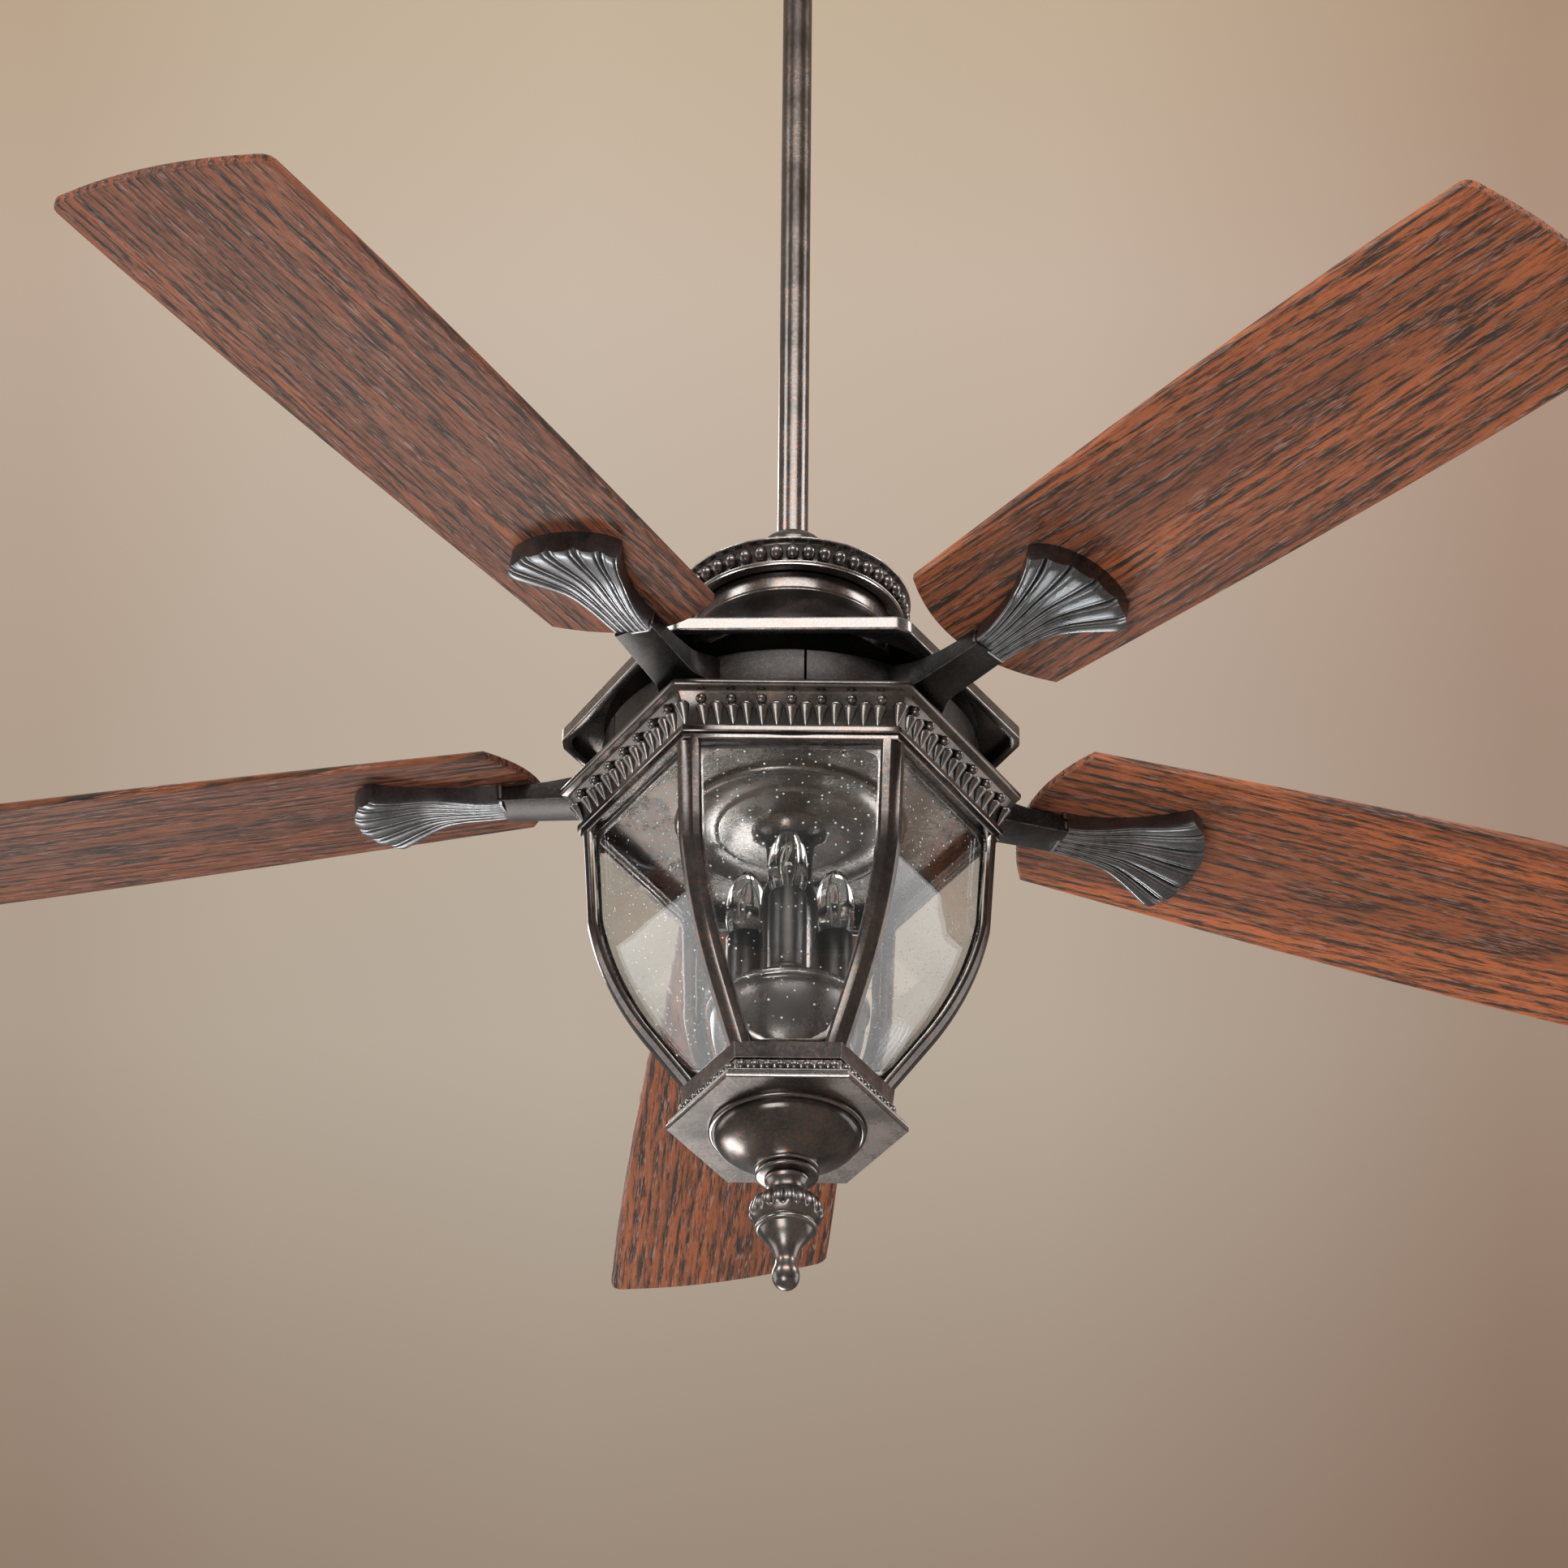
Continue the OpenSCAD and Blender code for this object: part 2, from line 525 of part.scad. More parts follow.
module bottom_dome() at_hub() color("#3a3331") turned(concat(
    [[pipe_r + gap, dome_low_z], [pipe_r + gap, plate_low_z + 4], [23.6, plate_low_z + 4],
    [23.6, plate_low_z]], dome_line()));

function finial_line() = concat(
    [[13, dome_low_z - 0.2], [11.7, dome_low_z - 9]],
    arc(11.2, -322.5, 10, 9, 80, -75, 10),
    [[17.8, -331.5], [17.8, -333.5]],
    arc(18, -348, 12, 14, 100, 175, 8),
    arc(0, -363, 8.1, 9, 50, -90, 12));
module finial() at_hub() color("#4a423e") difference() {
    turned(concat([[0, dome_low_z - 0.2]], finial_line()));
    rod(pipe_r + fit, pipe_low_z - 3, dome_low_z + 1);
}

hanger_bracket();
canopy();
canopy_screws();
hanger_ball();
ball_pin();
downrod();
lead_wires();
coupling_cover();
yoke();
clevis_pin();
beaded_cap();
motor_housing();
housing_screws();
motor_shaft();
stator_core();
stator_windings();
bearing_inner_races();
reverse_switch_box();
light_pan();
crown_ring();
crown_screws();
run_capacitor();
ceiling_disc();
lantern_frame();
glass_panel(1);  // glass_panel_1
glass_panel(2);  // glass_panel_2
glass_panel(3);  // glass_panel_3
glass_panel(4);  // glass_panel_4
glass_panel(5);  // glass_panel_5
glass_panel(6);  // glass_panel_6
center_stem();
lamp_pipe();
lamp_cup();
candle_sleeve(1);  // candle_sleeve_1
candle_sleeve(2);  // candle_sleeve_2
candle_sleeve(3);  // candle_sleeve_3
lamp_sockets();
bulb(1);  // bulb_1
bulb(2);  // bulb_2
bulb(3);  // bulb_3
reverse_switch_slider();
rotor_upper_case();
rotor_lower_case();
rotor_ring();
bearing_outer_races();
bearing_balls();
blade_arm(1);  // blade_arm_1
blade_arm(2);  // blade_arm_2
blade_arm(3);  // blade_arm_3
blade_arm(4);  // blade_arm_4
blade_arm(5);  // blade_arm_5
blade(1);  // blade_1
blade(2);  // blade_2
blade(3);  // blade_3
blade(4);  // blade_4
blade(5);  // blade_5
rotor_screws();
bottom_plate();
bottom_dome();
finial();
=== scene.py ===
"""Looks of a five-blade ceiling fan with a six-sided glass lantern.

Profiles are lists of (radius, height) in millimetres about the hub, the point on the axis in the
plane of the blades. Six-sided pieces give the radius at their corners. Meshes are in metres.
"""
import json
import math
import random

import bmesh
import bpy
from mathutils import Matrix, Vector


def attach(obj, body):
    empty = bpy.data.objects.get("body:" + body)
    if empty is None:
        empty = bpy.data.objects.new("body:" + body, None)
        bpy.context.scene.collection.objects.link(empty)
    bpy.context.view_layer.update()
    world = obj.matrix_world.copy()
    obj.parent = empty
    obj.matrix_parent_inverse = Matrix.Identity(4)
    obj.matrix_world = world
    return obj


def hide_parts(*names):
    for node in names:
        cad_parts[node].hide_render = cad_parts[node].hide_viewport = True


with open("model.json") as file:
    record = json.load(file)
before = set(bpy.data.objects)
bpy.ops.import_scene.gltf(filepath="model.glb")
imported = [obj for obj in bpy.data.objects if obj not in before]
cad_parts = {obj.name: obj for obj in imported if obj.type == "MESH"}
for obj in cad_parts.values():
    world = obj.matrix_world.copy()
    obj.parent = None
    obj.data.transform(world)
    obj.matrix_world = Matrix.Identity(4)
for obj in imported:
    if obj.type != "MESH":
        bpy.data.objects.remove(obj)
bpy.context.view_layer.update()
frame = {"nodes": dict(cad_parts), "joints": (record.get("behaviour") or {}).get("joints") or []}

MM = 0.001
TAU = 2 * math.pi
joints = {j["name"]: j for j in frame["joints"]}
HUB = Vector(joints["rotor_spin"]["pos_m"])
SIDES = 6
APOTHEM = math.cos(math.pi / SIDES)  # from the axis to a flat side, for a corner radius of 1
BLADES = 5

# Driving sizes, which follow the CAD model's
PITCH = math.radians(-11.2)
FIRST_BLADE = math.radians(22.1)
BLADE_T = 6.0
TIP_R = 660.2
ROOT_R = 178.0
ROOT_W = 116.0
TIP_W = 151.0
COLLAR_R = 178.0
SHELL_R = 273.0
SHELL_W = 78.0
SHELL_DEPTH = 15.0
SHELL_SHIFT = 4.5
SHELL_ARC_X = 250.0
SHELL_ROOT = 12.0
SHELL_FLARE = 1.9
BAR_SHIFT = 2.2
FOOT_R = 115.0
CROWN_R = 140.4
CROWN_LOW_R = 128.9
FRAME_R = 124.5
BEND_R = 120.5
BEND_Z = -125.0
BEND_ARC = 200.0
BEND_A0 = 11.0
BEND_A1 = 36.5
BAND_TOP = -237.0
BAND_LOW = -248.0
PLATE_R = 71.4
CANDLE_CIRCLE = 31.0
FIRST_CANDLE = 268.0
ROOF_R = 142.0
ROOF_TURN = math.radians(-1.5)
NECK_R = 62.0
SHOULDER_Z = 78.8
SKIRT_R = 119.0
SKIRT_Z = 16.4
CAP_BEADS = 44
FRAME_TOP = -62.0
GLASS_T = 3.0
GLASS_IN = 5.6
CUP_TOP = -179.4
SCREWS = 3
CANDLES = 3
LIGHT_DISTANCE = 4.0


# ---------------------------------------------------------------- profiles

def arc(cx, cz, rx, rz, a0, a1, n):
    """Points on an ellipse from angle a0 to a1, in degrees."""
    out = []
    for i in range(n + 1):
        a = math.radians(a0 + (a1 - a0) * i / n)
        out.append((cx + rx * math.cos(a), cz + rz * math.sin(a)))
    return out


def fillet(points, radius):
    """The closed outline with every corner rounded to radius, or less where its edges are short."""
    steps = 3
    out = []
    count = len(points)
    for i, p in enumerate(points):
        p = Vector(p)
        a = Vector(points[i - 1]) - p
        b = Vector(points[(i + 1) % count]) - p
        if a.length < 1e-6 or b.length < 1e-6:
            continue
        turn = math.pi - a.angle(b)
        if turn < math.radians(20):
            out.append(tuple(p))
            continue
        reach = min(radius * math.tan(turn / 2), 0.45 * a.length, 0.45 * b.length)
        start = p + a.normalized() * reach
        end = p + b.normalized() * reach
        for k in range(steps + 1):
            t = k / steps
            out.append(tuple((1 - t) ** 2 * start + 2 * t * (1 - t) * p + t * t * end))
    return out


def smooth_line(points, n):
    """A Catmull-Rom curve through the points, in n steps from each to the next."""
    out = []
    ends = [points[0]] + list(points) + [points[-1]]
    for i in range(1, len(ends) - 2):
        p0, p1, p2, p3 = (Vector(ends[i + k]) for k in (-1, 0, 1, 2))
        for k in range(n):
            t = k / n
            q = 0.5 * (2 * p1 + (p2 - p0) * t + (2 * p0 - 5 * p1 + 4 * p2 - p3) * t * t
                       + (3 * p1 - p0 - 3 * p2 + p3) * t ** 3)
            out.append(tuple(q))
    out.append(tuple(points[-1]))
    return out


def corner_line(steps=18):
    """Radius and height of the lantern's corners, from the top ring to the bottom band."""
    a0 = math.radians(BEND_A0)
    a1 = math.radians(BEND_A1)
    out = [(FRAME_R + (BEND_R - FRAME_R) * i / 4, FRAME_TOP + (BEND_Z - FRAME_TOP) * i / 4)
           for i in range(4)]
    for i in range(steps + 1):
        a = a0 + (a1 - a0) * i / steps
        out.append((BEND_R - BEND_ARC * (math.cos(a0) - math.cos(a)),
                    BEND_Z - BEND_ARC * (math.sin(a) - math.sin(a0))))
    r, z = out[-1]
    for i in range(1, 5):
        zz = z + (BAND_TOP - z) * i / 4
        out.append((r - (z - zz) * math.tan(a1), zz))
    return out


def corner_at(z):
    """The lantern's corner radius at height z."""
    line = corner_line()
    for (r0, z0), (r1, z1) in zip(line, line[1:]):
        if z0 >= z >= z1:
            return r0 + (r1 - r0) * (z - z0) / (z1 - z0)
    return line[0][0] if z > line[0][1] else line[-1][0]


# ---------------------------------------------------------------- meshes

def wear_attribute(mesh):
    """Stores how sharply each vertex stands proud, which the metals read as worn spots."""
    bm = bmesh.new()
    bm.from_mesh(mesh)
    values = [0.0] * len(bm.verts)
    for v in bm.verts:
        best = 0.0
        for e in v.link_edges:
            if len(e.link_faces) != 2:
                continue
            angle = e.calc_face_angle_signed(0.0)
            if angle <= 0:
                continue
            width = 0.5 * sum(f.calc_area() for f in e.link_faces) / max(e.calc_length(), 1e-7)
            best = max(best, angle / max(width / MM, 0.05))
        values[v.index] = min(best, 4.0)
    bm.free()
    layer = mesh.attributes.new("wear", "FLOAT", "POINT")
    layer.data.foreach_set("value", values)


def add_piece(name, verts, faces, material, body, stands_for=(), sharp=38.0, turn=None):
    """Makes a mesh piece in millimetres about the hub, shades it, lets it ride on a body and gives it
    its material. Edges that turn by more than sharp degrees stay crisp."""
    mesh = bpy.data.meshes.new(name)
    if turn is not None:
        verts = [turn @ Vector(v) for v in verts]
    mesh.from_pydata([(HUB.x + v[0] * MM, HUB.y + v[1] * MM, HUB.z + v[2] * MM) for v in verts], [],
                     faces)
    mesh.materials.append(material)
    bm = bmesh.new()
    bm.from_mesh(mesh)
    bmesh.ops.remove_doubles(bm, verts=bm.verts, dist=1e-6)
    bmesh.ops.recalc_face_normals(bm, faces=bm.faces)
    bm.to_mesh(mesh)
    bm.free()
    mesh.shade_smooth()
    mesh.set_sharp_from_angle(angle=math.radians(sharp))
    wear_attribute(mesh)
    piece = bpy.data.objects.new(name, mesh)
    bpy.context.collection.objects.link(piece)
    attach(piece, body)
    if stands_for:
        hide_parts(*stands_for)


def ring_faces(rows, columns, closed_rows=True):
    """Quads of a grid of vertices stored row by row, each row a closed ring."""
    faces = []
    for i in range(rows if closed_rows else rows - 1):
        for j in range(columns):
            a = i * columns + j
            b = i * columns + (j + 1) % columns
            c = ((i + 1) % rows) * columns + (j + 1) % columns
            d = ((i + 1) % rows) * columns + j
            faces.append((a, b, c, d))
    return faces


def lathe(profile, columns, centre=(0, 0)):
    """Vertices and faces of a closed outline turned about a vertical axis."""
    verts = []
    for r, z in profile:
        r = max(r, 0.0)
        for j in range(columns):
            a = TAU * j / columns
            verts.append((centre[0] + r * math.cos(a), centre[1] + r * math.sin(a), z))
    return verts, ring_faces(len(profile), columns)


def six_sided(profile, per_side, rounding):
    """A closed outline of (corner radius, height) carried round a hexagon, corners cut a little."""
    corners = [Vector((math.cos(TAU * s / SIDES), math.sin(TAU * s / SIDES))) for s in range(SIDES + 1)]
    path = [a.lerp(b, rounding + (1 - 2 * rounding) * k / (per_side - 1))
            for a, b in zip(corners, corners[1:]) for k in range(per_side)]
    verts = [(x * r, y * r, z) for r, z in profile for x, y in path]
    return verts, ring_faces(len(profile), len(path))


def join(*parts):
    """Several (verts, faces) as one."""
    verts = []
    faces = []
    for v, f in parts:
        base = len(verts)
        verts += v
        faces += [tuple(i + base for i in face) for face in f]
    return verts, faces


def placed(shape, x, y, z, down=False):
    """The shape moved to (x, y, z), and turned over first where it faces down."""
    verts, faces = shape
    way = -1 if down else 1
    return [(x + p[0], y + way * p[1], z + way * p[2]) for p in verts], faces


def turned(shape, turn):
    """The shape turned by a matrix."""
    verts, faces = shape
    return [tuple(turn @ Vector(p)) for p in verts], faces


def sheet_faces(rows, columns, base=0):
    """Quads of an open grid of vertices stored row by row from number base on."""
    return [(base + i * columns + j, base + i * columns + j + 1,
             base + (i + 1) * columns + j + 1, base + (i + 1) * columns + j)
            for i in range(rows - 1) for j in range(columns - 1)]


def sheet_border(rows, columns):
    """The vertices round the edge of an open grid, in order."""
    border = list(range(columns)) + [i * columns + columns - 1 for i in range(1, rows)]
    border += [(rows - 1) * columns + j for j in range(columns - 2, -1, -1)]
    return border + [i * columns for i in range(rows - 2, 0, -1)]


def ball(centre, radius, rings, columns, squash=(1, 1, 1)):
    """A small UV sphere."""
    verts = [(centre[0], centre[1], centre[2] + radius * squash[2])]
    for i in range(1, rings):
        phi = math.pi * i / rings
        for j in range(columns):
            a = TAU * j / columns
            verts.append((centre[0] + radius * squash[0] * math.sin(phi) * math.cos(a),
                          centre[1] + radius * squash[1] * math.sin(phi) * math.sin(a),
                          centre[2] + radius * squash[2] * math.cos(phi)))
    verts.append((centre[0], centre[1], centre[2] - radius * squash[2]))
    faces = []
    for j in range(columns):
        k = (j + 1) % columns
        faces.append((0, 1 + j, 1 + k))
        for i in range(rings - 2):
            a = 1 + i * columns
            faces.append((a + j, a + columns + j, a + columns + k, a + k))
        last = 1 + (rings - 2) * columns
        faces.append((last + j, len(verts) - 1, last + k))
    return verts, faces


def tube(points, radius, columns):
    """A round tube along points, closed at its ends."""
    verts = []
    pts = [Vector(p) for p in points]
    for i, p in enumerate(pts):
        ahead = (pts[min(i + 1, len(pts) - 1)] - pts[max(i - 1, 0)]).normalized()
        side = ahead.orthogonal().normalized()
        up = ahead.cross(side)
        for j in range(columns):
            a = TAU * j / columns
            verts.append(tuple(p + radius * (math.cos(a) * side + math.sin(a) * up)))
    faces = ring_faces(len(pts), columns, closed_rows=False)
    faces.append(tuple(range(columns - 1, -1, -1)))
    faces.append(tuple(range(len(verts) - columns, len(verts))))
    return verts, faces


WHOLE = 999.0  # clip radius of a six-sided row that keeps its corners


def six_rows(*rows):
    """Rows of a six-sided outline that keeps its corners, for polar."""
    return [(r, z, WHOLE) for r, z in rows]


def polar(rows, columns, turn=0.0):
    """A closed outline round the axis. A row is (radius, height), or (corner radius, height, clip
    radius) for a six-sided row whose corners are cut off at the clip radius."""
    verts = []
    for row in rows:
        for j in range(columns):
            a = TAU * j / columns
            r = row[0]
            if len(row) > 2:
                r *= APOTHEM / math.cos((a % (TAU / SIDES)) - math.pi / SIDES)
                r = min(r, row[2])
            verts.append((r * math.cos(a + turn), r * math.sin(a + turn), row[1]))
    return verts, ring_faces(len(rows), columns)


def loft(sections):
    """Closed cross-sections joined in order and capped at both ends."""
    n = len(sections[0])
    verts = [p for s in sections for p in s]
    faces = ring_faces(len(sections), n, closed_rows=False)
    faces.append(tuple(range(n - 1, -1, -1)))
    faces.append(tuple(range(len(verts) - n, len(verts))))
    return verts, faces


def smoothstep(t):
    """Eases from 0 to 1 as t goes from 0 to 1."""
    t = min(max(t, 0.0), 1.0)
    return t * t * (3 - 2 * t)


# ---------------------------------------------------------------- materials

COLOUR_A = 6  # the Mix node's colour inputs share their names with its number inputs
COLOUR_B = 7


class Paint:
    """Builds one material out of nodes; places are the object's own, in metres."""

    def __init__(self, name, **fixed):
        self.material = bpy.data.materials.new(name)
        self.material.use_nodes = True
        self.nodes = self.material.node_tree.nodes
        self.links = self.material.node_tree.links
        self.shader = self.nodes["Principled BSDF"]
        self.place = self.nodes.new("ShaderNodeTexCoord").outputs["Object"]
        self.fill(self.shader, fixed)

    def set(self, socket, value):
        """Links a socket, or sets a number, vector or colour."""
        if isinstance(value, bpy.types.NodeSocket):
            self.links.new(value, socket)
        elif hasattr(value, "__len__") and len(value) == 3 and len(socket.default_value) == 4:
            socket.default_value = (*value, 1)
        else:
            socket.default_value = value

    def fill(self, node, values):
        for key, value in values.items():
            self.set(node.inputs[key.replace("_", " ")], value)
        return node

    def add(self, kind, **values):
        return self.fill(self.nodes.new("ShaderNode" + kind), values)

    def put(self, name, value):
        self.set(self.shader.inputs[name], value)

    def moved(self, place=None, location=(0, 0, 0), rotation=(0, 0, 0), scale=(1, 1, 1), kind="POINT"):
        n = self.add("Mapping", Vector=place or self.place, Location=location, Rotation=rotation,
                     Scale=scale)
        n.vector_type = kind
        return n.outputs["Vector"]

    def noise(self, scale, detail, rough=0.55, place=None):
        n = self.add("TexNoise", Vector=place or self.place, Scale=scale, Detail=detail,
                     Roughness=rough)
        return n.outputs["Fac"]

    def cells(self, scale):
        n = self.add("TexVoronoi", Vector=self.place, Scale=scale)
        return n.outputs["Distance"], n.outputs["Color"]

    def rings(self, scale, distortion, detail, place):
        n = self.add("TexWave", Vector=place, Scale=scale, Distortion=distortion, Detail=detail,
                     Detail_Scale=1.6)
        n.wave_type = "RINGS"
        n.rings_direction = "X"
        return n.outputs["Fac"]

    def mix(self, factor, a, b):
        n = self.nodes.new("ShaderNodeMix")
        n.data_type = "RGBA"
        self.set(n.inputs["Factor"], factor)
        self.set(n.inputs[COLOUR_A], a)
        self.set(n.inputs[COLOUR_B], b)
        return n.outputs[2]

    def math(self, how, a, b):
        n = self.nodes.new("ShaderNodeMath")
        n.operation = how
        self.set(n.inputs[0], a)
        self.set(n.inputs[1], b)
        return n.outputs[0]

    def scaled(self, value, low, high, to_low=0.0, to_high=1.0):
        n = self.add("MapRange", Value=value, From_Min=low, From_Max=high, To_Min=to_low,
                     To_Max=to_high)
        return n.outputs["Result"]

    def worn(self):
        n = self.nodes.new("ShaderNodeAttribute")
        n.attribute_name = "wear"
        return n.outputs["Fac"]

    def bump(self, height, distance, strength):
        n = self.add("Bump", Strength=strength, Distance=distance, Height=height)
        self.put("Normal", n.outputs["Normal"])


def patina(name, dark, lighter, rust, worn, rust_share, rough):
    """Aged metal: softly mottled dark ground, fine rust specks, rubbed edges."""
    p = Paint(name, Metallic=0.92)
    broad = p.noise(30, 5, 0.62)  # clouds about 30 mm across
    fine = p.noise(420, 4, 0.7)  # blotches of 2 mm
    specks = p.noise(1300, 2, 0.6)  # grains under a millimetre
    cloud = p.math("ADD", broad, p.math("MULTIPLY", p.math("SUBTRACT", fine, 0.5), 0.45))
    colour = p.mix(p.scaled(cloud, 0.28, 0.76), dark, lighter)
    spotted = p.math("MULTIPLY", p.scaled(fine, 0.52, 0.62), p.scaled(broad, 0.42, 0.60, 0.15,
                                                                      rust_share))
    colour = p.mix(spotted, colour, rust)
    colour = p.mix(p.scaled(specks, 0.62, 0.74, 0.0, 0.22), colour, worn)
    colour = p.mix(p.scaled(specks, 0.38, 0.26, 0.0, 0.4), colour, tuple(0.3 * c for c in dark))
    rubbed = p.math("MULTIPLY", p.scaled(p.worn(), 0.3, 1.3), p.scaled(p.noise(140, 3), 0.34, 0.56, 0.2,
                                                                       0.9))
    p.put("Base Color", p.mix(rubbed, colour, worn))
    p.put("Roughness", p.scaled(cloud, 0.3, 0.7, rough[0], rough[1]))
    p.bump(p.math("ADD", fine, p.math("MULTIPLY", specks, 0.25)), 0.00008, 0.22)
    return p.material


# Each blade is cut elsewhere from its log: how its rings tilt, in degrees, and how far their middle
# lies to the side, in metres. Each blade's colours are scaled by its own factor, higher for the
# blades on the right of the view and lower for those on the left
GRAIN_TILTS = (3.4, -2.6, 2.9, -3.2, 3.0)
GRAIN_SIDES = (0.011, -0.02, 0.004, 0.018, -0.009)
TONES = (1.58, 1.02, 0.78, 0.95, 1.34)


def wood(name, number):
    """Streaked veneer along the blade: rust-brown, dark grain lines in arches, pale broken pores."""
    azimuth = FIRST_BLADE + (number - 1) * TAU / BLADES
    tilt = math.radians(GRAIN_TILTS[number - 1])
    side = GRAIN_SIDES[number - 1]
    axis = Matrix.Rotation(azimuth, 3, "Z") @ Matrix.Rotation(PITCH, 3, "X") @ Matrix.Rotation(tilt, 3,
                                                                                               "Y")
    middle = HUB + Matrix.Rotation(azimuth, 3, "Z") @ Vector((0.42, side, -0.02))
    p = Paint(name, Metallic=0.0, Specular_IOR_Level=0.15)
    along = p.moved(location=middle, rotation=axis.to_euler(), scale=(18, 1, 1), kind="TEXTURE")
    shifted = p.moved(along, location=(number * 1.7, number * 0.31, 0.2))
    rings = p.rings(40, 7.0, 3.0, along)
    broad = p.noise(26, 3, 0.6, shifted)
    streak = p.noise(400, 6, 0.70, shifted)
    fibre = p.noise(1000, 3, 0.65, shifted)
    red, brown, dark = (tuple(TONES[number - 1] * v for v in c) for c in (
        (0.370, 0.112, 0.044), (0.190, 0.066, 0.033), (0.034, 0.027, 0.023)))
    ground = p.mix(p.scaled(broad, 0.38, 0.62), red, brown)
    lines = p.math("MULTIPLY", p.scaled(rings, 0.40, 0.80), p.scaled(streak, 0.40, 0.54))
    colour = p.mix(p.math("MULTIPLY", lines, 0.92), ground, dark)
    colour = p.mix(p.scaled(streak, 0.505, 0.60, 0.0, 0.85), colour, dark)
    colour = p.mix(p.scaled(fibre, 0.53, 0.64, 0.0, 0.55), colour, dark)
    rows = p.scaled(p.rings(40, 7.0, 3.0, p.moved(along, location=(0, 0.0018, 0.0010))), 0.45, 0.85,
                    0.15, 1.0)
    pale = p.math("MULTIPLY", p.scaled(p.noise(1100, 1, 0.5, shifted), 0.56, 0.63), rows)
    colour = p.mix(p.math("MULTIPLY", pale, 0.5), colour, (0.44, 0.29, 0.25))
    p.put("Base Color", p.mix(p.scaled(p.worn(), 0.2, 1.2, 0.0, 0.35), colour, (0.42, 0.29, 0.26)))
    p.put("Roughness", p.scaled(streak, 0.3, 0.7, 0.46, 0.64))
    p.bump(p.math("ADD", fibre, p.math("MULTIPLY", pale, -1.0)), 0.00018, 0.6)
    return p.material


def glass(name, seeds, tint=(0.96, 0.98, 0.98)):
    """Clear glass; lamps shine through it. Seeds are small bubbles caught in the sheet."""
    p = Paint(name, Roughness=0.02, IOR=1.46, Transmission_Weight=1.0)
    p.put("Base Color", tint)
    if seeds:
        near, shade = p.cells(seeds)
        tone = p.add("SeparateColor", Color=shade)
        size = p.math("MULTIPLY", p.scaled(tone.outputs["Red"], 0.40, 1.0), 0.22)
        bubble = p.scaled(p.math("SUBTRACT", size, near), 0.0, 0.04)
        p.put("Transmission Weight", p.scaled(bubble, 0.0, 1.0, 1.0, 0.35))
        p.put("Roughness", p.scaled(bubble, 0.0, 1.0, 0.02, 0.35))
        p.bump(p.math("ADD", p.noise(14, 2), bubble), 0.0012, 0.35)
    clear = p.add("BsdfTransparent", Color=(0.93, 0.95, 0.95))
    path = p.add("LightPath")
    both = p.add("MixShader")
    p.links.new(p.math("MAXIMUM", path.outputs["Is Shadow Ray"], path.outputs["Is Diffuse Ray"]),
                both.inputs[0])
    p.links.new(p.shader.outputs[0], both.inputs[1])
    p.links.new(clear.outputs[0], both.inputs[2])
    p.links.new(both.outputs[0], p.nodes["Material Output"].inputs["Surface"])
    return p.material


def plain_metal(name, colour, rough, scratch=900):
    """Machined steel or wire: fine scratches along Z."""
    p = Paint(name, Metallic=1.0)
    lines = p.noise(scratch, 4, 0.6, p.moved(scale=(1, 1, 0.08)))
    cloud = p.noise(30, 3)
    p.put("Base Color", p.mix(p.scaled(cloud, 0.3, 0.7, 0.0, 0.5), colour,
                              tuple(0.6 * c for c in colour)))
    p.put("Roughness", p.scaled(lines, 0.3, 0.7, rough * 0.7, rough * 1.4))
    p.bump(lines, 0.0001, 0.4)
    return p.material


def moulded(name, colour):
    """Plastic with a faint pebbled surface."""
    p = Paint(name)
    pebble = p.noise(1300, 2, 0.5)
    p.put("Base Color", p.mix(p.scaled(p.noise(55, 3), 0.3, 0.7), colour,
                              tuple(0.7 * c for c in colour)))
    p.put("Roughness", p.scaled(pebble, 0.3, 0.7, 0.336, 0.504))
    p.bump(pebble, 0.0001, 0.5)
    return p.material


SPUN = patina("spun_bronze", (0.070, 0.064, 0.061), (0.150, 0.140, 0.134), (0.24, 0.115, 0.068),
              (0.48, 0.46, 0.44), 0.8, (0.17, 0.29))
CAST = patina("cast_bronze", (0.108, 0.102, 0.098), (0.200, 0.191, 0.185), (0.28, 0.14, 0.09),
              (0.60, 0.58, 0.56), 0.8, (0.22, 0.32))
PEWTER = patina("iron_pewter", (0.080, 0.086, 0.093), (0.195, 0.207, 0.222), (0.20, 0.13, 0.10),
                (0.56, 0.57, 0.58), 0.45, (0.26, 0.40))
IRON = patina("iron_dark", (0.020, 0.019, 0.019), (0.052, 0.050, 0.049), (0.10, 0.055, 0.038),
              (0.36, 0.35, 0.34), 0.6, (0.34, 0.46))
GLASS = glass("lantern_glass", 260)
BULB = glass("bulb_glass", 0, (0.98, 0.98, 0.97))
SLEEVE = patina("dark_steel", (0.022, 0.020, 0.019), (0.050, 0.045, 0.042), (0.08, 0.04, 0.025),
                (0.16, 0.15, 0.14), 0.3, (0.32, 0.42))
STEEL = plain_metal("bright_steel", (0.60, 0.60, 0.60), 0.3)
COPPER = plain_metal("copper_winding", (0.72, 0.32, 0.16), 0.32, 1600)
WHITE = moulded("white_plastic", (0.80, 0.79, 0.76))
BLACK = moulded("black_plastic", (0.022, 0.022, 0.024))
FILAMENT = plain_metal("filament", (0.78, 0.72, 0.64), 0.25)
WOODS = [wood(f"blade_wood_{k}", k) for k in range(1, BLADES + 1)]

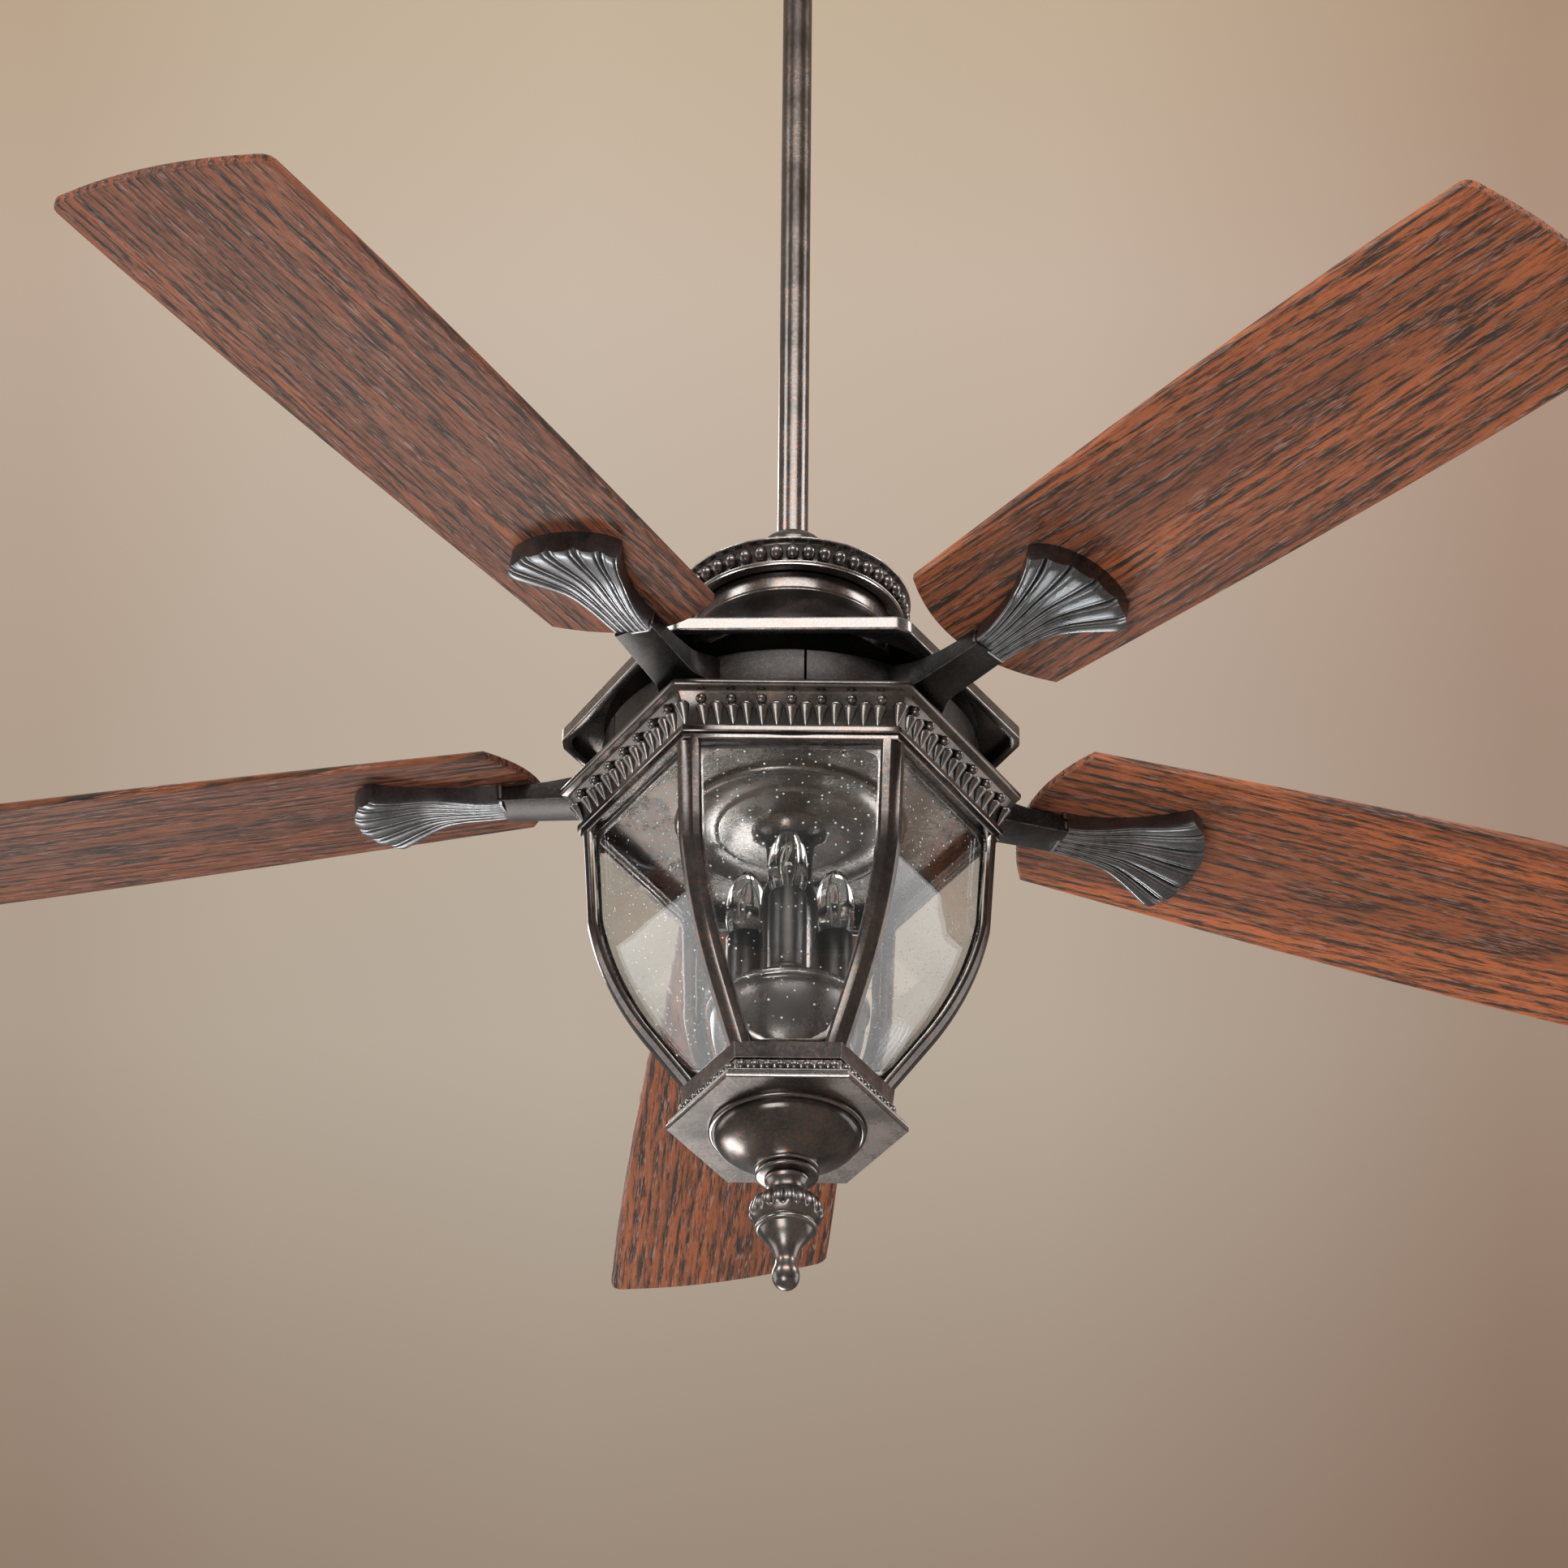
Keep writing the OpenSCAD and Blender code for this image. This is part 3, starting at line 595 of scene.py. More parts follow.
# CAD nodes that show as they are, in a better material
CAD_LOOKS = {
    SPUN: ("downrod", "hanger_ball", "rotor_lower_case", "rotor_upper_case"),
    SLEEVE: ("hanger_bracket", "yoke", "light_pan", "stator_core", "rotor_ring"),
    STEEL: ("ball_pin", "clevis_pin", "motor_shaft", "bearing_inner_races", "bearing_outer_races",
            "bearing_balls", "lamp_pipe"),
    COPPER: ("stator_windings",),
    WHITE: ("lead_wires", "lamp_sockets"),
    BLACK: ("reverse_switch_box", "reverse_switch_slider", "run_capacitor"),
}
for look, names in CAD_LOOKS.items():
    for cad_name in names:
        data = frame["nodes"][cad_name].data
        data.materials.clear()
        data.materials.append(look)


# ---------------------------------------------------------------- pieces

def hang():
    """Canopy, its screws and the coupling cover, from the ceiling down."""
    top = -HUB.z / MM
    outside = [(75, -0.5), (75, -6), (74.4, -7.2), (73, -8)] + arc(30, -8, 44, 64, -2, -88, 40)
    inside = [(r - 1.6, z + 1.6) for r, z in reversed(outside)]
    lip = [(27.4, -72), (27, -71.4), (27, -70.4)]
    rows = [(r, z + top) for r, z in outside + lip + inside[:-3] + [(73.4, -0.5)]]
    add_piece("canopy_shell", *lathe(rows, 128), SPUN, "ceiling_mount", ["canopy"], 50)
    heads = []
    for a in (90, 270):
        a = math.radians(a)
        spin = Matrix.Rotation(a, 3, "Z")
        parts = (75.2, dome_head(4.0, 2.0)), (64, lathe([(0, 0), (1.9, 0), (1.9, 11), (0, 11)], 16))
        for out, (v, f) in parts:
            heads.append(([tuple(spin @ Vector((out + z, x, y)) + Vector((0, 0, top - 14)))
                           for x, y, z in v], f))
    add_piece("canopy_thumbscrews", *join(*heads), SPUN, "ceiling_mount", ["canopy_screws"])
    line = arc(12, 150, 8, 8, 90, 0, 10) + arc(40, 147.9, 20, 35, 180, 270, 26)
    under = [(r - 1.6, z - 1.6) for r, z in reversed(line)]
    rows = [(10.2, 156.4), (10.2, 157.6), (10.6, 158)] + line + [(39.9, 112.1)] + under
    add_piece("coupling_trumpet", *lathe(rows, 96), SPUN, "fan_body", ["coupling_cover"], 50)


def dome_head(radius, height, slot_width=0.9):
    """A screw head standing on z = 0, domed, with a crossed recess."""
    rings = 7
    columns = 32
    verts = []
    for i in range(rings + 1):
        t = i / rings
        r = radius * math.cos(t * math.pi / 2)
        z = height * (0.35 + 0.65 * math.sin(t * math.pi / 2))
        for j in range(columns):
            a = TAU * j / columns
            x, y = r * math.cos(a), r * math.sin(a)
            sunk = min(abs(x), abs(y)) < slot_width / 2 and max(abs(x), abs(y)) < 0.62 * radius
            verts.append((x, y, z - (0.4 * height if sunk and r < 0.7 * radius else 0)))
    verts += [(radius * math.cos(TAU * j / columns), radius * math.sin(TAU * j / columns), 0)
              for j in range(columns)]
    faces = ring_faces(rings + 1, columns, closed_rows=False)
    last = (rings + 1) * columns
    for j in range(columns):
        faces.append((last + j, last + (j + 1) % columns, (j + 1) % columns, j))
    faces.append(tuple(range(last + columns - 1, last - 1, -1)))
    return verts, faces


def cap_and_housing():
    """Beaded cap, neck, bell and the six-sided roof plate."""
    rows = ([(16.5, 108.5), (16.5, 110.4), (17, 110.9), (71.2, 110.9)]
            + arc(71.8, 109.9, 1.6, 1.0, 80, -80, 8)
            + [(70.2, 108.7), (69.2, 107.8), (68.6, 105), (67.4, 100), (66.6, 97.2), (66.8, 96.2)]
            + arc(68.6, 94.9, 1.3, 1.2, 80, -60, 8) + [(69.2, 92.9), (68.9, 92.7), (63.2, 92.7),
                                                       (63, 93), (63, 96), (66, 107.9)])
    add_piece("cap_pan", *lathe(rows, 176), CAST, "fan_body", ["beaded_cap"], 45)
    beads = []
    for k in range(CAP_BEADS):
        a = TAU * k / CAP_BEADS
        beads.append(ball((68.9 * math.cos(a), 68.9 * math.sin(a), 102.2), 4.15, 16, 24,
                          (1.0, 1.0, 1.26)))
    add_piece("cap_beads", *join(*beads), CAST, "fan_body", (), 60)

    rise = SKIRT_Z - SHOULDER_Z
    run = SKIRT_R - NECK_R
    chord = 90
    steps = 40
    bell = []
    for i in range(steps + 1):
        t = i / steps
        sag = 18 * t * (1 - t)
        bell.append((NECK_R + run * t + sag * rise / chord, SHOULDER_Z + rise * t - sag * run / chord))
    neck = [(9.1, 90.2), (9.1, 92.7), (61.2, 92.7), (62, 92.2), (62.15, 91.5), (62.15, 81.5),
            (62.1, 80.8), (61.7, 79.8)]
    under = [(r - 2.5, z - 2.5) for r, z in reversed(bell)]
    add_piece("bell", *lathe(neck + bell + under + [(59.5, 90.2)], 176), SPUN, "fan_body",
              ["motor_housing"], 50)
    clip = ROOF_R - 2.5
    six = ROOF_R
    rows = [(118.5, 16.3), (six - 1.5, 16.4, clip - 1.4), (six - 0.4, 16.0, clip - 0.3),
            (six, 15.4, clip), (six, 14.9, clip), (six, 8.4, clip), (six, 7.9, clip),
            (six - 0.4, 7.4, clip - 0.3), (six - 1.4, 7.0, clip - 1.3), (six - 5.2, 7.0, clip - 5),
            (six - 6, 7.4, clip - 5.8), (six - 6.3, 8.2, clip - 6.1), (six - 6.3, 13.9, clip - 6.1),
            (114, 13.9)]
    add_piece("roof_plate", *polar(rows, 360, ROOF_TURN), CAST, "fan_body", (), 45)
    bolts = []
    for k in range(SCREWS):
        a = math.radians(30 + 360 / SCREWS * k)
        x, y = 23 * math.cos(a), 23 * math.sin(a)
        bolts.append(lathe([(0, 86), (2.4, 86), (2.4, 97), (0, 97)], 16, (x, y)))
        bolts.append(placed(dome_head(4.4, 3.0), x, y, 97))
        nut = six_rows((4.3, 87.0), (4.6, 87.4), (4.6, 89.8), (4.3, 90.2))
        bolts.append(placed(polar([(0, 87.0)] + nut + [(0, 90.2)], 36), x, y, 0))
    add_piece("housing_bolts", *join(*bolts), STEEL, "fan_body", ["housing_screws"], 40)


COVE_TOP = -33.6
COVE_LOW = -53.2


def cove_at(t):
    """Corner radius and height of the crown's cove, a share t of the way down."""
    return CROWN_R - 6.0 - 9.2 * t - 1.6 * math.sin(math.pi * t), COVE_TOP + (COVE_LOW - COVE_TOP) * t


def dart(azimuth, along, at_corner=False, beaded=False):
    """A drop-shaped dart on the cove, round on top and pointed below, with a ball over some of them."""
    rows, columns = 16, 12
    tip = 0.945
    head = 0.16
    half_width = 4.3
    out = Vector((math.cos(azimuth), math.sin(azimuth), 0))
    side = Vector((-out.y, out.x, 0))
    flat = 1.0 if at_corner else APOTHEM
    top = 0.33 if beaded else 0.25
    verts = []
    for i in range(rows + 1):
        u = i / rows
        r, z = cove_at(top + (tip - top) * u)
        taper = 1 - max(0.0, (u - head) / (1 - head))
        half = half_width * min(1.0, math.sqrt(max(u, 0.004) / head)) * taper ** 0.9 + 0.12
        for j in range(columns + 1):
            a = math.pi * j / columns
            lift = 0.95 * half * math.sin(a) ** 0.8 - (0.5 if j in (0, columns) else 0.0)
            place = out * (r * flat + lift) + side * (along * r / CROWN_R + half * math.cos(a))
            verts.append((place.x, place.y, z))
    faces = ring_faces(rows + 1, columns + 1, closed_rows=False)
    faces += [tuple(range(columns, -1, -1)), tuple(range(len(verts) - columns - 1, len(verts)))]
    parts = [(verts, faces)]
    if beaded:
        r, z = cove_at(0.25)
        place = out * (r * flat + 2.6) + side * (along * r / CROWN_R)
        parts.append(ball((place.x, place.y, z), 3.1, 14, 20))
    return join(*parts)


def crown():
    """Crown ring: bullnosed upper lip, cove with a row of darts, flat lower lip, and its top flange."""
    rows = [(CROWN_R - 11, -27), (CROWN_R - 3, -27)] + arc(CROWN_R - 2.4, -29.6, 2.4, 2.6, 80, -75, 8)
    rows += [(CROWN_R - 4.6, -32.6), (CROWN_R - 5.6, -33.2)]
    steps = 14
    rows += [cove_at(i / steps) for i in range(steps + 1)]
    rows += [(CROWN_LOW_R - 1.4, -53.4), (CROWN_LOW_R - 0.4, -53.8), (CROWN_LOW_R, -54.4),
             (CROWN_LOW_R, -54.9), (CROWN_LOW_R, -57.3), (CROWN_LOW_R, -57.7),
             (CROWN_LOW_R - 0.6, -58.3), (CROWN_LOW_R - 7, -58.3), (CROWN_LOW_R - 7, -53.3),
             (CROWN_R - 14, -33), (104, -33), (104, -30.5), (CROWN_R - 13, -30.5)]
    add_piece("crown_moulding", *six_sided(rows, 10, 0.006), SPUN, "fan_body", ["crown_ring"], 45)
    pitch = 19.1
    darts = []
    for side in range(SIDES):
        middle = TAU * (side + 0.5) / SIDES
        darts += [dart(middle, (i - 3) * pitch, beaded=True) for i in range(7)]
        darts += [dart(middle, (i - 2.5) * pitch) for i in range(6)]
        darts.append(dart(TAU * side / SIDES, 0.0, at_corner=True))
    add_piece("crown_darts", *join(*darts), CAST, "fan_body", (), 50)
    screws = []
    for k in range(SCREWS):
        a = math.radians(30 + 360 / SCREWS * k)
        x, y = 96 * math.cos(a), 96 * math.sin(a)
        screws.append(placed(dome_head(3.8, 2.0), x, y, -33, down=True))
        screws.append(lathe([(0, -33), (1.9, -33), (1.9, -28), (0, -28)], 16, (x, y)))
    add_piece("crown_bolts", *join(*screws), STEEL, "fan_body", ["crown_screws"], 40)


RIB_SECTION = [(-7.5, -5), (-7.5, -3.0), (-7.1, -2.2), (-4.1, -0.3), (-3.4, 0), (3.4, 0), (4.1, -0.3),
               (7.1, -2.2), (7.5, -3.0), (7.5, -5), (5.2, -5.0), (-5.2, -5.0)]


def ribs_and_bands():
    """Lantern frame: six folded ribs, top ring, bottom band and a rounded lip in each window."""
    line = corner_line()
    line = [(FRAME_R, -58.5)] + line + [(line[-1][0] - 2.6, BAND_LOW + 6)]
    parts = []
    for side in range(SIDES):
        turn = Matrix.Rotation(TAU * side / SIDES, 3, "Z")
        sections = []
        for i, (r, z) in enumerate(line):
            a = Vector(line[max(i - 1, 0)])
            b = Vector(line[min(i + 1, len(line) - 1)])
            down = (b - a).normalized()
            out = Vector((-down.y, down.x))
            if out.x < 0:
                out = -out
            sections.append([tuple(turn @ Vector((r + out.x * d, w, z + out.y * d)))
                             for w, d in RIB_SECTION])
        parts.append(loft(sections))
    ring = six_rows((126.1, -58.3), (126.5, -58.8), (126.5, -61.4), (126.0, FRAME_TOP),
                    (112, FRAME_TOP))
    band = six_rows((53.8, BAND_LOW), (61.6, BAND_LOW), (62.1, -247.4), (63.2, -237.8),
                    (62.6, BAND_TOP), (54, BAND_TOP))
    parts += [polar([(112, -58.3)] + ring, 360), polar(band, 360)]
    add_piece("lantern_ribs", *join(*parts), SPUN, "fan_body", ["lantern_frame"], 30)
    lips = [window_lip(k) for k in range(SIDES)]
    add_piece("window_lips", *join(*lips), SPUN, "fan_body", (), 75)


def window_lip(side):
    """A thin raised frame on the outside of one pane, with rounded corners inside."""
    width = 2.4
    rounding = 9.0
    top, low = -63.0, -236.0
    turn = Matrix.Rotation(TAU * (side + 0.5) / SIDES, 3, "Z")

    def half_at(z):
        return corner_at(z) / 2 - 7.6

    def point(across, z, lift):
        apothem = (corner_at(z) - GLASS_IN) * APOTHEM + lift
        return tuple(turn @ Vector((apothem, across, z)))

    def loop(inset, round_by):
        pts = []
        steps = 40
        hi, lo = top - inset, low + inset
        for sign in (1, -1):
            zs = [hi + (lo - hi) * i / steps for i in range(steps + 1)]
            if sign < 0:
                zs.reverse()
            for z in zs:
                edge = min(hi - z, z - lo)
                cut = 0.0
                if edge < round_by:
                    cut = round_by - math.sqrt(max(0.0, round_by ** 2 - (round_by - edge) ** 2))
                pts.append((sign * (half_at(z) - inset - cut), z))
        return pts

    outer = loop(0.0, 0.5)
    inner = loop(width, rounding)
    verts = []
    for pts, lift in ((outer, 0.15), (outer, 0.8), (inner, 0.6), (inner, 0.15)):
        verts += [point(a, z, lift) for a, z in pts]
    return verts, ring_faces(4, len(outer))


def panes():
    """Six bent panes of seeded glass, a little wavy."""
    ripple_height = 0.10
    random.seed(11)
    for k in range(1, SIDES + 1):
        turn = Matrix.Rotation(TAU * (k - 0.5) / SIDES, 3, "Z")
        line = corner_line(26)
        across = 12
        verts = []
        rows = []
        for i in range(len(line)):
            r, z = line[i]
            z = min(z, -62.4)
            if i == len(line) - 1:
                z += 0.4
            rows.append(((r - GLASS_IN) * APOTHEM, z))
        wave = random.uniform(0, TAU)
        for inward in (0.0, GLASS_T):
            for apothem, z in rows:
                half = (apothem - inward) * math.tan(math.pi / SIDES) - 0.5
                for j in range(across + 1):
                    s = 2 * j / across - 1
                    ripple = ripple_height * math.sin(0.07 * z + 2.3 * s + wave) * (1 - s * s)
                    verts.append(tuple(turn @ Vector((apothem - inward + ripple, s * half, z))))
        inner = len(verts) // 2
        faces = sheet_faces(len(rows), across + 1) + sheet_faces(len(rows), across + 1, inner)
        edge = sheet_border(len(rows), across + 1)
        faces += [(a, b, inner + b, inner + a) for a, b in zip(edge, edge[1:] + edge[:1])]
        add_piece(f"pane_{k}", verts, faces, GLASS, "fan_body", [f"glass_panel_{k}"], 40)


def lamp_parts():
    """Ceiling disc, stem, cup, sleeves and bulbs inside the lantern."""
    sheet = six_rows((118, -53.2), (120.5, -53.4), (120.9, -53.0), (120.9, -52.2), (120.5, -52))
    flat = polar([(44, -53.2)] + sheet + [(44, -52)], 360)
    steps = lathe([(5.2, -53), (5.2, -56.4), (5.6, -56.8), (42.5, -56.8), (43.6, -56.4), (44.4, -55.4),
                   (46, -54.6), (47, -54.2), (60.6, -54.2), (61.6, -54.8), (63, -56.4), (64, -57),
                   (66.6, -57), (67.6, -56.4), (68.8, -54.8), (69, -53)], 144)
    a = math.radians(-68)
    screw = placed(dome_head(4.2, 2.4), 88 * math.cos(a), 88 * math.sin(a), -53.2, down=True)
    add_piece("lantern_ceiling", *join(flat, steps, screw), CAST, "fan_body", ["ceiling_disc"], 40)

    stem = [(5.0, CUP_TOP), (5.0, -57), (23.4, -57)] + arc(26, -74, 12, 18, 104, 180, 16)[:-1]
    stem += [(13.6, -80), (13.2, -92), (13.2, -96)] + arc(13.2, -112, 4, 16, 90, 0, 12)
    stem += [(17.2, -140), (17.2, -176.6), (18.8, -177.6), (19.2, CUP_TOP)]
    add_piece("stem_tube", *lathe(stem, 72), SPUN, "fan_body", ["center_stem"], 45)

    bowl = [(5.2, -179.5), (44.2, -179.5), (45.4, -179.9), (47.2, -181.6), (47.9, -183)]
    bowl += arc(46.6, -184.8, 1.4, 1.4, 50, -70, 6) + [(46.0, -186.8), (45.4, -188)]
    bowl += arc(18, -188, 27.2, 49, -3, -80, 30)
    bowl += [(19.2, -239.6), (16.6, -240.6), (15.8, -243), (14.6, -244.8), (5.2, -245), (5.2, -212)]
    add_piece("cup_bowl", *lathe(bowl, 128), CAST, "fan_body", ["lamp_cup"], 45)

    bulb_r = 12
    widest = -107
    wall = 0.7
    wires = []
    for k in range(1, CANDLES + 1):
        a = math.radians(FIRST_CANDLE + 360 / CANDLES * (k - 1))
        centre = (CANDLE_CIRCLE * math.cos(a), CANDLE_CIRCLE * math.sin(a))
        rows = [(10.1, CUP_TOP), (12.6, CUP_TOP), (12.9, -179), (12.9, -176.8), (12.4, -176),
                (11.8, -175.6), (11.6, -175), (11.6, -150), (11.5, -123), (11.2, -122.2), (10.8, -122),
                (10.3, -122.2), (10.1, -123)]
        add_piece(f"candle_{k}", *lathe(rows, 64, centre), SLEEVE, "fan_body", [f"candle_sleeve_{k}"],
                  40)
        outside = [(0, -146), (5.4, -146), (6.3, -145), (6.3, -123.5)]
        outside += arc(0, widest, bulb_r, 22, -54, 0, 14)[1:]
        outside += [(bulb_r * math.cos(t) ** 0.86, widest + 31 * math.sin(t))
                    for t in (math.pi / 2 * i / 22 for i in range(1, 22))]
        outside += [(0, widest + 31)]
        inside = [(max(r - wall, 0), z + (wall if z < widest else -wall))
                  for r, z in reversed(outside)]
        add_piece(f"bulb_shell_{k}", *lathe(outside + inside, 48, centre), BULB, "fan_body",
                  [f"bulb_{k}"], 60)
        spin = Matrix.Rotation(a + 0.5 * k, 3, "Z")
        loops = []
        for lean in (-1, 1):
            path = [(lean * 1.6, 0, -124), (lean * 2.6, 0.4, -116), (lean * 3.4, 1.2, -104),
                    (lean * 1.7, 1.4, -93), (lean * 0.4, 0.5, -88.5), (-lean * 0.5, -0.6, -93),
                    (-lean * 1.3, -1.2, -104), (-lean * 1.2, -0.4, -117)]
            line3 = smooth_line([Vector(p) for p in path], 6)
            loops.append(tube(line3, 0.28, 6))
        loops.append(ball((0, 0, -118.5), 1.9, 10, 14, (1, 1, 1.2)))
        loops.append(tube([(0, 0, -145), (0, 0, -118)], 1.3, 10))
        for v, f in loops:
            wires.append(([tuple(spin @ Vector(p) + Vector((*centre, 0))) for p in v], f))
    add_piece("bulb_filaments", *join(*wires), FILAMENT, "fan_body")


def bottom_cap():
    """Six-sided bottom plate with its bead row, and the round dome under it."""
    edge = six_rows((PLATE_R - 0.8, -266), (PLATE_R, -265.4), (PLATE_R, -263.4),
                    (PLATE_R - 0.6, -262.6), (PLATE_R - 2.4, -262), (69.4, -261.6), (70, -260.8),
                    (70, -259.8), (69.2, -259.0),
                    (63.4, -258.4), (62.4, -257.6), (62.0, -249.9), (61.0, -248.7), (60, -248.4),
                    (52.4, -248.4), (50, -262))
    parts = [polar([(20, -266)] + edge + [(20, -262)], 360)]
    apothem = 63.2 * APOTHEM
    count = 8
    spacing = 7.75
    for side in range(SIDES):
        a = TAU * (side + 0.5) / SIDES
        out, along = Vector((math.cos(a), math.sin(a), 0)), Vector((-math.sin(a), math.cos(a), 0))
        for i in range(count):
            p = out * apothem + along * (i - (count - 1) / 2) * spacing
            parts.append(ball((p.x, p.y, -253.9), 3.0, 12, 16, (1, 1, 1.25)))
            if i < count - 1:
                q = p + along * spacing / 2 - out * 0.6
                parts.append(ball((q.x, q.y, -255.2), 1.35, 8, 10, (1, 1, 1.9)))
    add_piece("bottom_plate_beaded", *join(*parts), CAST, "bottom_cap", ["bottom_plate"], 40)

    rows = [(5.3, -298.7), (5.3, -262), (44, -262), (46.4, -263), (46.8, -265), (46.8, -267.4),
            (46.3, -268.3), (45.3, -268.9), (44.2, -268.9), (43.7, -268.7)]
    rows += smooth_line([(43.7, -269.6), (43.0, -272.2), (40.6, -275.2), (36.4, -278.0), (31.2, -280.5),
                         (26.2, -283.1), (22.0, -286.0), (19.0, -288.9), (17.4, -291.0)], 6)
    rows += arc(17.4, -292.6, 1.9, 1.5, 90, -80, 8) + [(16.9, -294.6)]
    rows += arc(16.9, -296.6, 1.8, 1.6, 80, -80, 8) + [(15.8, -298.7)]
    add_piece("dome_bowl", *lathe(rows, 144), SPUN, "bottom_cap", ["bottom_dome"], 50)


def finial_piece():
    """Turned finial with a ring of long beads round its knob."""
    points = [(13.2, -299.3), (13.0, -300.4), (12.0, -302), (11.4, -305), (11.6, -308.4),
              (13.2, -310.8), (16.4, -312.6), (19.2, -315.2), (20.8, -319), (21.0, -322.6),
              (20.2, -325.6), (18.2, -328.2), (16.8, -329.4)]
    rows = smooth_line(points, 5)[:-1]
    rows += [(16.9, -330.0)] + arc(16.6, -331.9, 1.6, 1.7, 80, -80, 10) + [(16.2, -334.0)]
    low = [(15.9, -334.6), (14.0, -337.6), (10.9, -341.4), (8.2, -345.6), (6.6, -350.0), (6.1, -353.6),
           (6.7, -356.8), (7.8, -360.2), (8.1, -363.4), (7.5, -366.8), (5.9, -369.6), (3.4, -371.4),
           (1.2, -371.95)]
    rows += smooth_line(low, 5) + [(0, -372)]
    columns = 192
    lobes = 17
    verts = []
    for r, z in rows + [(0, -299.3)]:
        span = smoothstep((z + 326.5) / 3.0) * smoothstep((-312.2 - z) / 2.6)
        for j in range(columns):
            a = TAU * j / columns
            wave = abs(math.cos(lobes * a / 2))
            rr = r + span * (0.9 - 3.1 * (1 - math.sqrt(max(wave, 0.0))))
            verts.append((rr * math.cos(a), rr * math.sin(a), z))
    add_piece("finial_turned", verts, ring_faces(len(rows) + 1, columns), CAST, "finial_body",
              ["finial"], 60)


# Blades and their irons are drawn along +X about the hub, then turned to their azimuths

def blade_turn(number, pitched=True):
    """Turns +X to a blade's azimuth, and pitches the blade first."""
    turn = Matrix.Rotation(FIRST_BLADE + (number - 1) * TAU / BLADES, 3, "Z")
    return turn @ Matrix.Rotation(PITCH, 3, "X") if pitched else turn


def blade_outline():
    """Plan of a blade: bowed root, sides that widen to the tip, rounded corners, bowed tip."""
    corner = 9.0
    bulge = 7.4
    side_end = TIP_R - bulge - corner
    half = [(ROOT_W + (TIP_W - ROOT_W) * math.sin(math.pi / 2 * i / 24)) / 2 for i in range(25)]
    upper = [(ROOT_R + (side_end - ROOT_R) * i / 24, half[i]) for i in range(25)]
    round_up = arc(side_end, TIP_W / 2 - corner, corner, corner, 84, 8, 10)
    tip = []
    for i in range(-9, 10):
        v = i / 10
        tip.append((TIP_R - bulge * v * v, -v * (TIP_W / 2 - corner)))
    root = []
    for i in range(-14, 15):
        v = i / 15
        root.append((ROOT_R - 20 * (1 - v * v), v * ROOT_W / 2))
    mirror = [(x, -y) for x, y in reversed(round_up)] + [(x, -y) for x, y in reversed(upper)]
    return upper + round_up + tip + mirror + root


def inset(outline, distance):
    """The outline moved inward by distance."""
    out = []
    for i, p in enumerate(outline):
        a = Vector(outline[i - 1])
        p = Vector(p)
        b = Vector(outline[(i + 1) % len(outline)])
        side = (p - a).normalized() + (b - p).normalized()
        side = side.normalized() if side.length > 1e-6 else (b - p).normalized()
        out.append(tuple(p + Vector((side.y, -side.x)) * distance))
    return out


def blades():
    """Five wooden blades with rounded edges."""
    outline = blade_outline()
    edge = [(1.6, BLADE_T / 2), (0.7, 2.8), (0.15, 2.3), (0.0, 1.6)]
    layers = [(d, -z) for d, z in edge] + edge[::-1]
    verts = []
    for d, z in layers:
        verts += [(x, y, z) for x, y in inset(outline, d)]
    n = len(outline)
    faces = ring_faces(len(layers), n, closed_rows=False)
    faces += [tuple(range(n)), tuple(range(len(verts) - n, len(verts)))]
    for k in range(1, BLADES + 1):
        add_piece(f"wood_blade_{k}", verts, faces, WOODS[k - 1], "rotor", [f"blade_{k}"], 55,
                  blade_turn(k))


def shell_point(t, v):
    """Plan of the shell at a share t along a groove and a place v from side to side."""
    wide = math.radians(80)
    x0, y0 = COLLAR_R + 1.0, SHELL_ROOT * v
    x1 = SHELL_ARC_X + (SHELL_R - SHELL_ARC_X) * math.cos(wide * v)
    y1 = SHELL_W / 2 * math.sin(wide * v) / math.sin(wide)
    return x0 + (x1 - x0) * t, SHELL_SHIFT + y0 + (y1 - y0) * t ** SHELL_FLARE


def shell():
    """Fan-shaped boss of convex lobes with fine lines beside their creases, and a smooth outer wall."""
    lobes = 6
    along = 30
    across = lobes * 26
    top = -BLADE_T / 2 + 0.02
    verts = []
    for i in range(along + 1):
        t = i / along
        for j in range(across + 1):
            v = 2 * j / across - 1
            x, y = shell_point(t, v)
            f = (v + 1) / 2 * lobes % 1.0
            lobe = max(0.0, 1 - abs(2 * f - 1) ** 2.6) ** 0.55
            line = sum(math.exp(-((f - at) / 0.045) ** 2) for at in (0.19, 0.81))
            base = 11.6 - 4.6 * smoothstep(t / 0.6) + 3.6 * smoothstep((t - 0.5) / 0.5)
            swell = 2.3 + 2.0 * t
            end = max(0.0, (t - 0.95) / 0.05)
            depth = base + swell * (lobe - 0.16 * line) * (1 - 0.25 * end ** 2) - 0.4 * end ** 2
            rim = min(1.0, (1 - abs(v)) / 0.05 + 0.35)
            verts.append((x, y, top - min(depth * (0.85 + 0.15 * rim), SHELL_DEPTH)))
    faces = sheet_faces(along + 1, across + 1)
    edge = sheet_border(along + 1, across + 1)
    mid = len(verts)
    verts += [(verts[e][0], verts[e][1], 0.5 * (verts[e][2] + top)) for e in edge]
    cap = len(verts)
    verts += [(verts[e][0], verts[e][1], top) for e in edge]
    m = len(edge)
    for i in range(m):
        j = (i + 1) % m
        faces.append((edge[i], edge[j], mid + j, mid + i))
        faces.append((mid + i, mid + j, cap + j, cap + i))
    faces.append(tuple(range(cap, cap + m)))
    return verts, faces


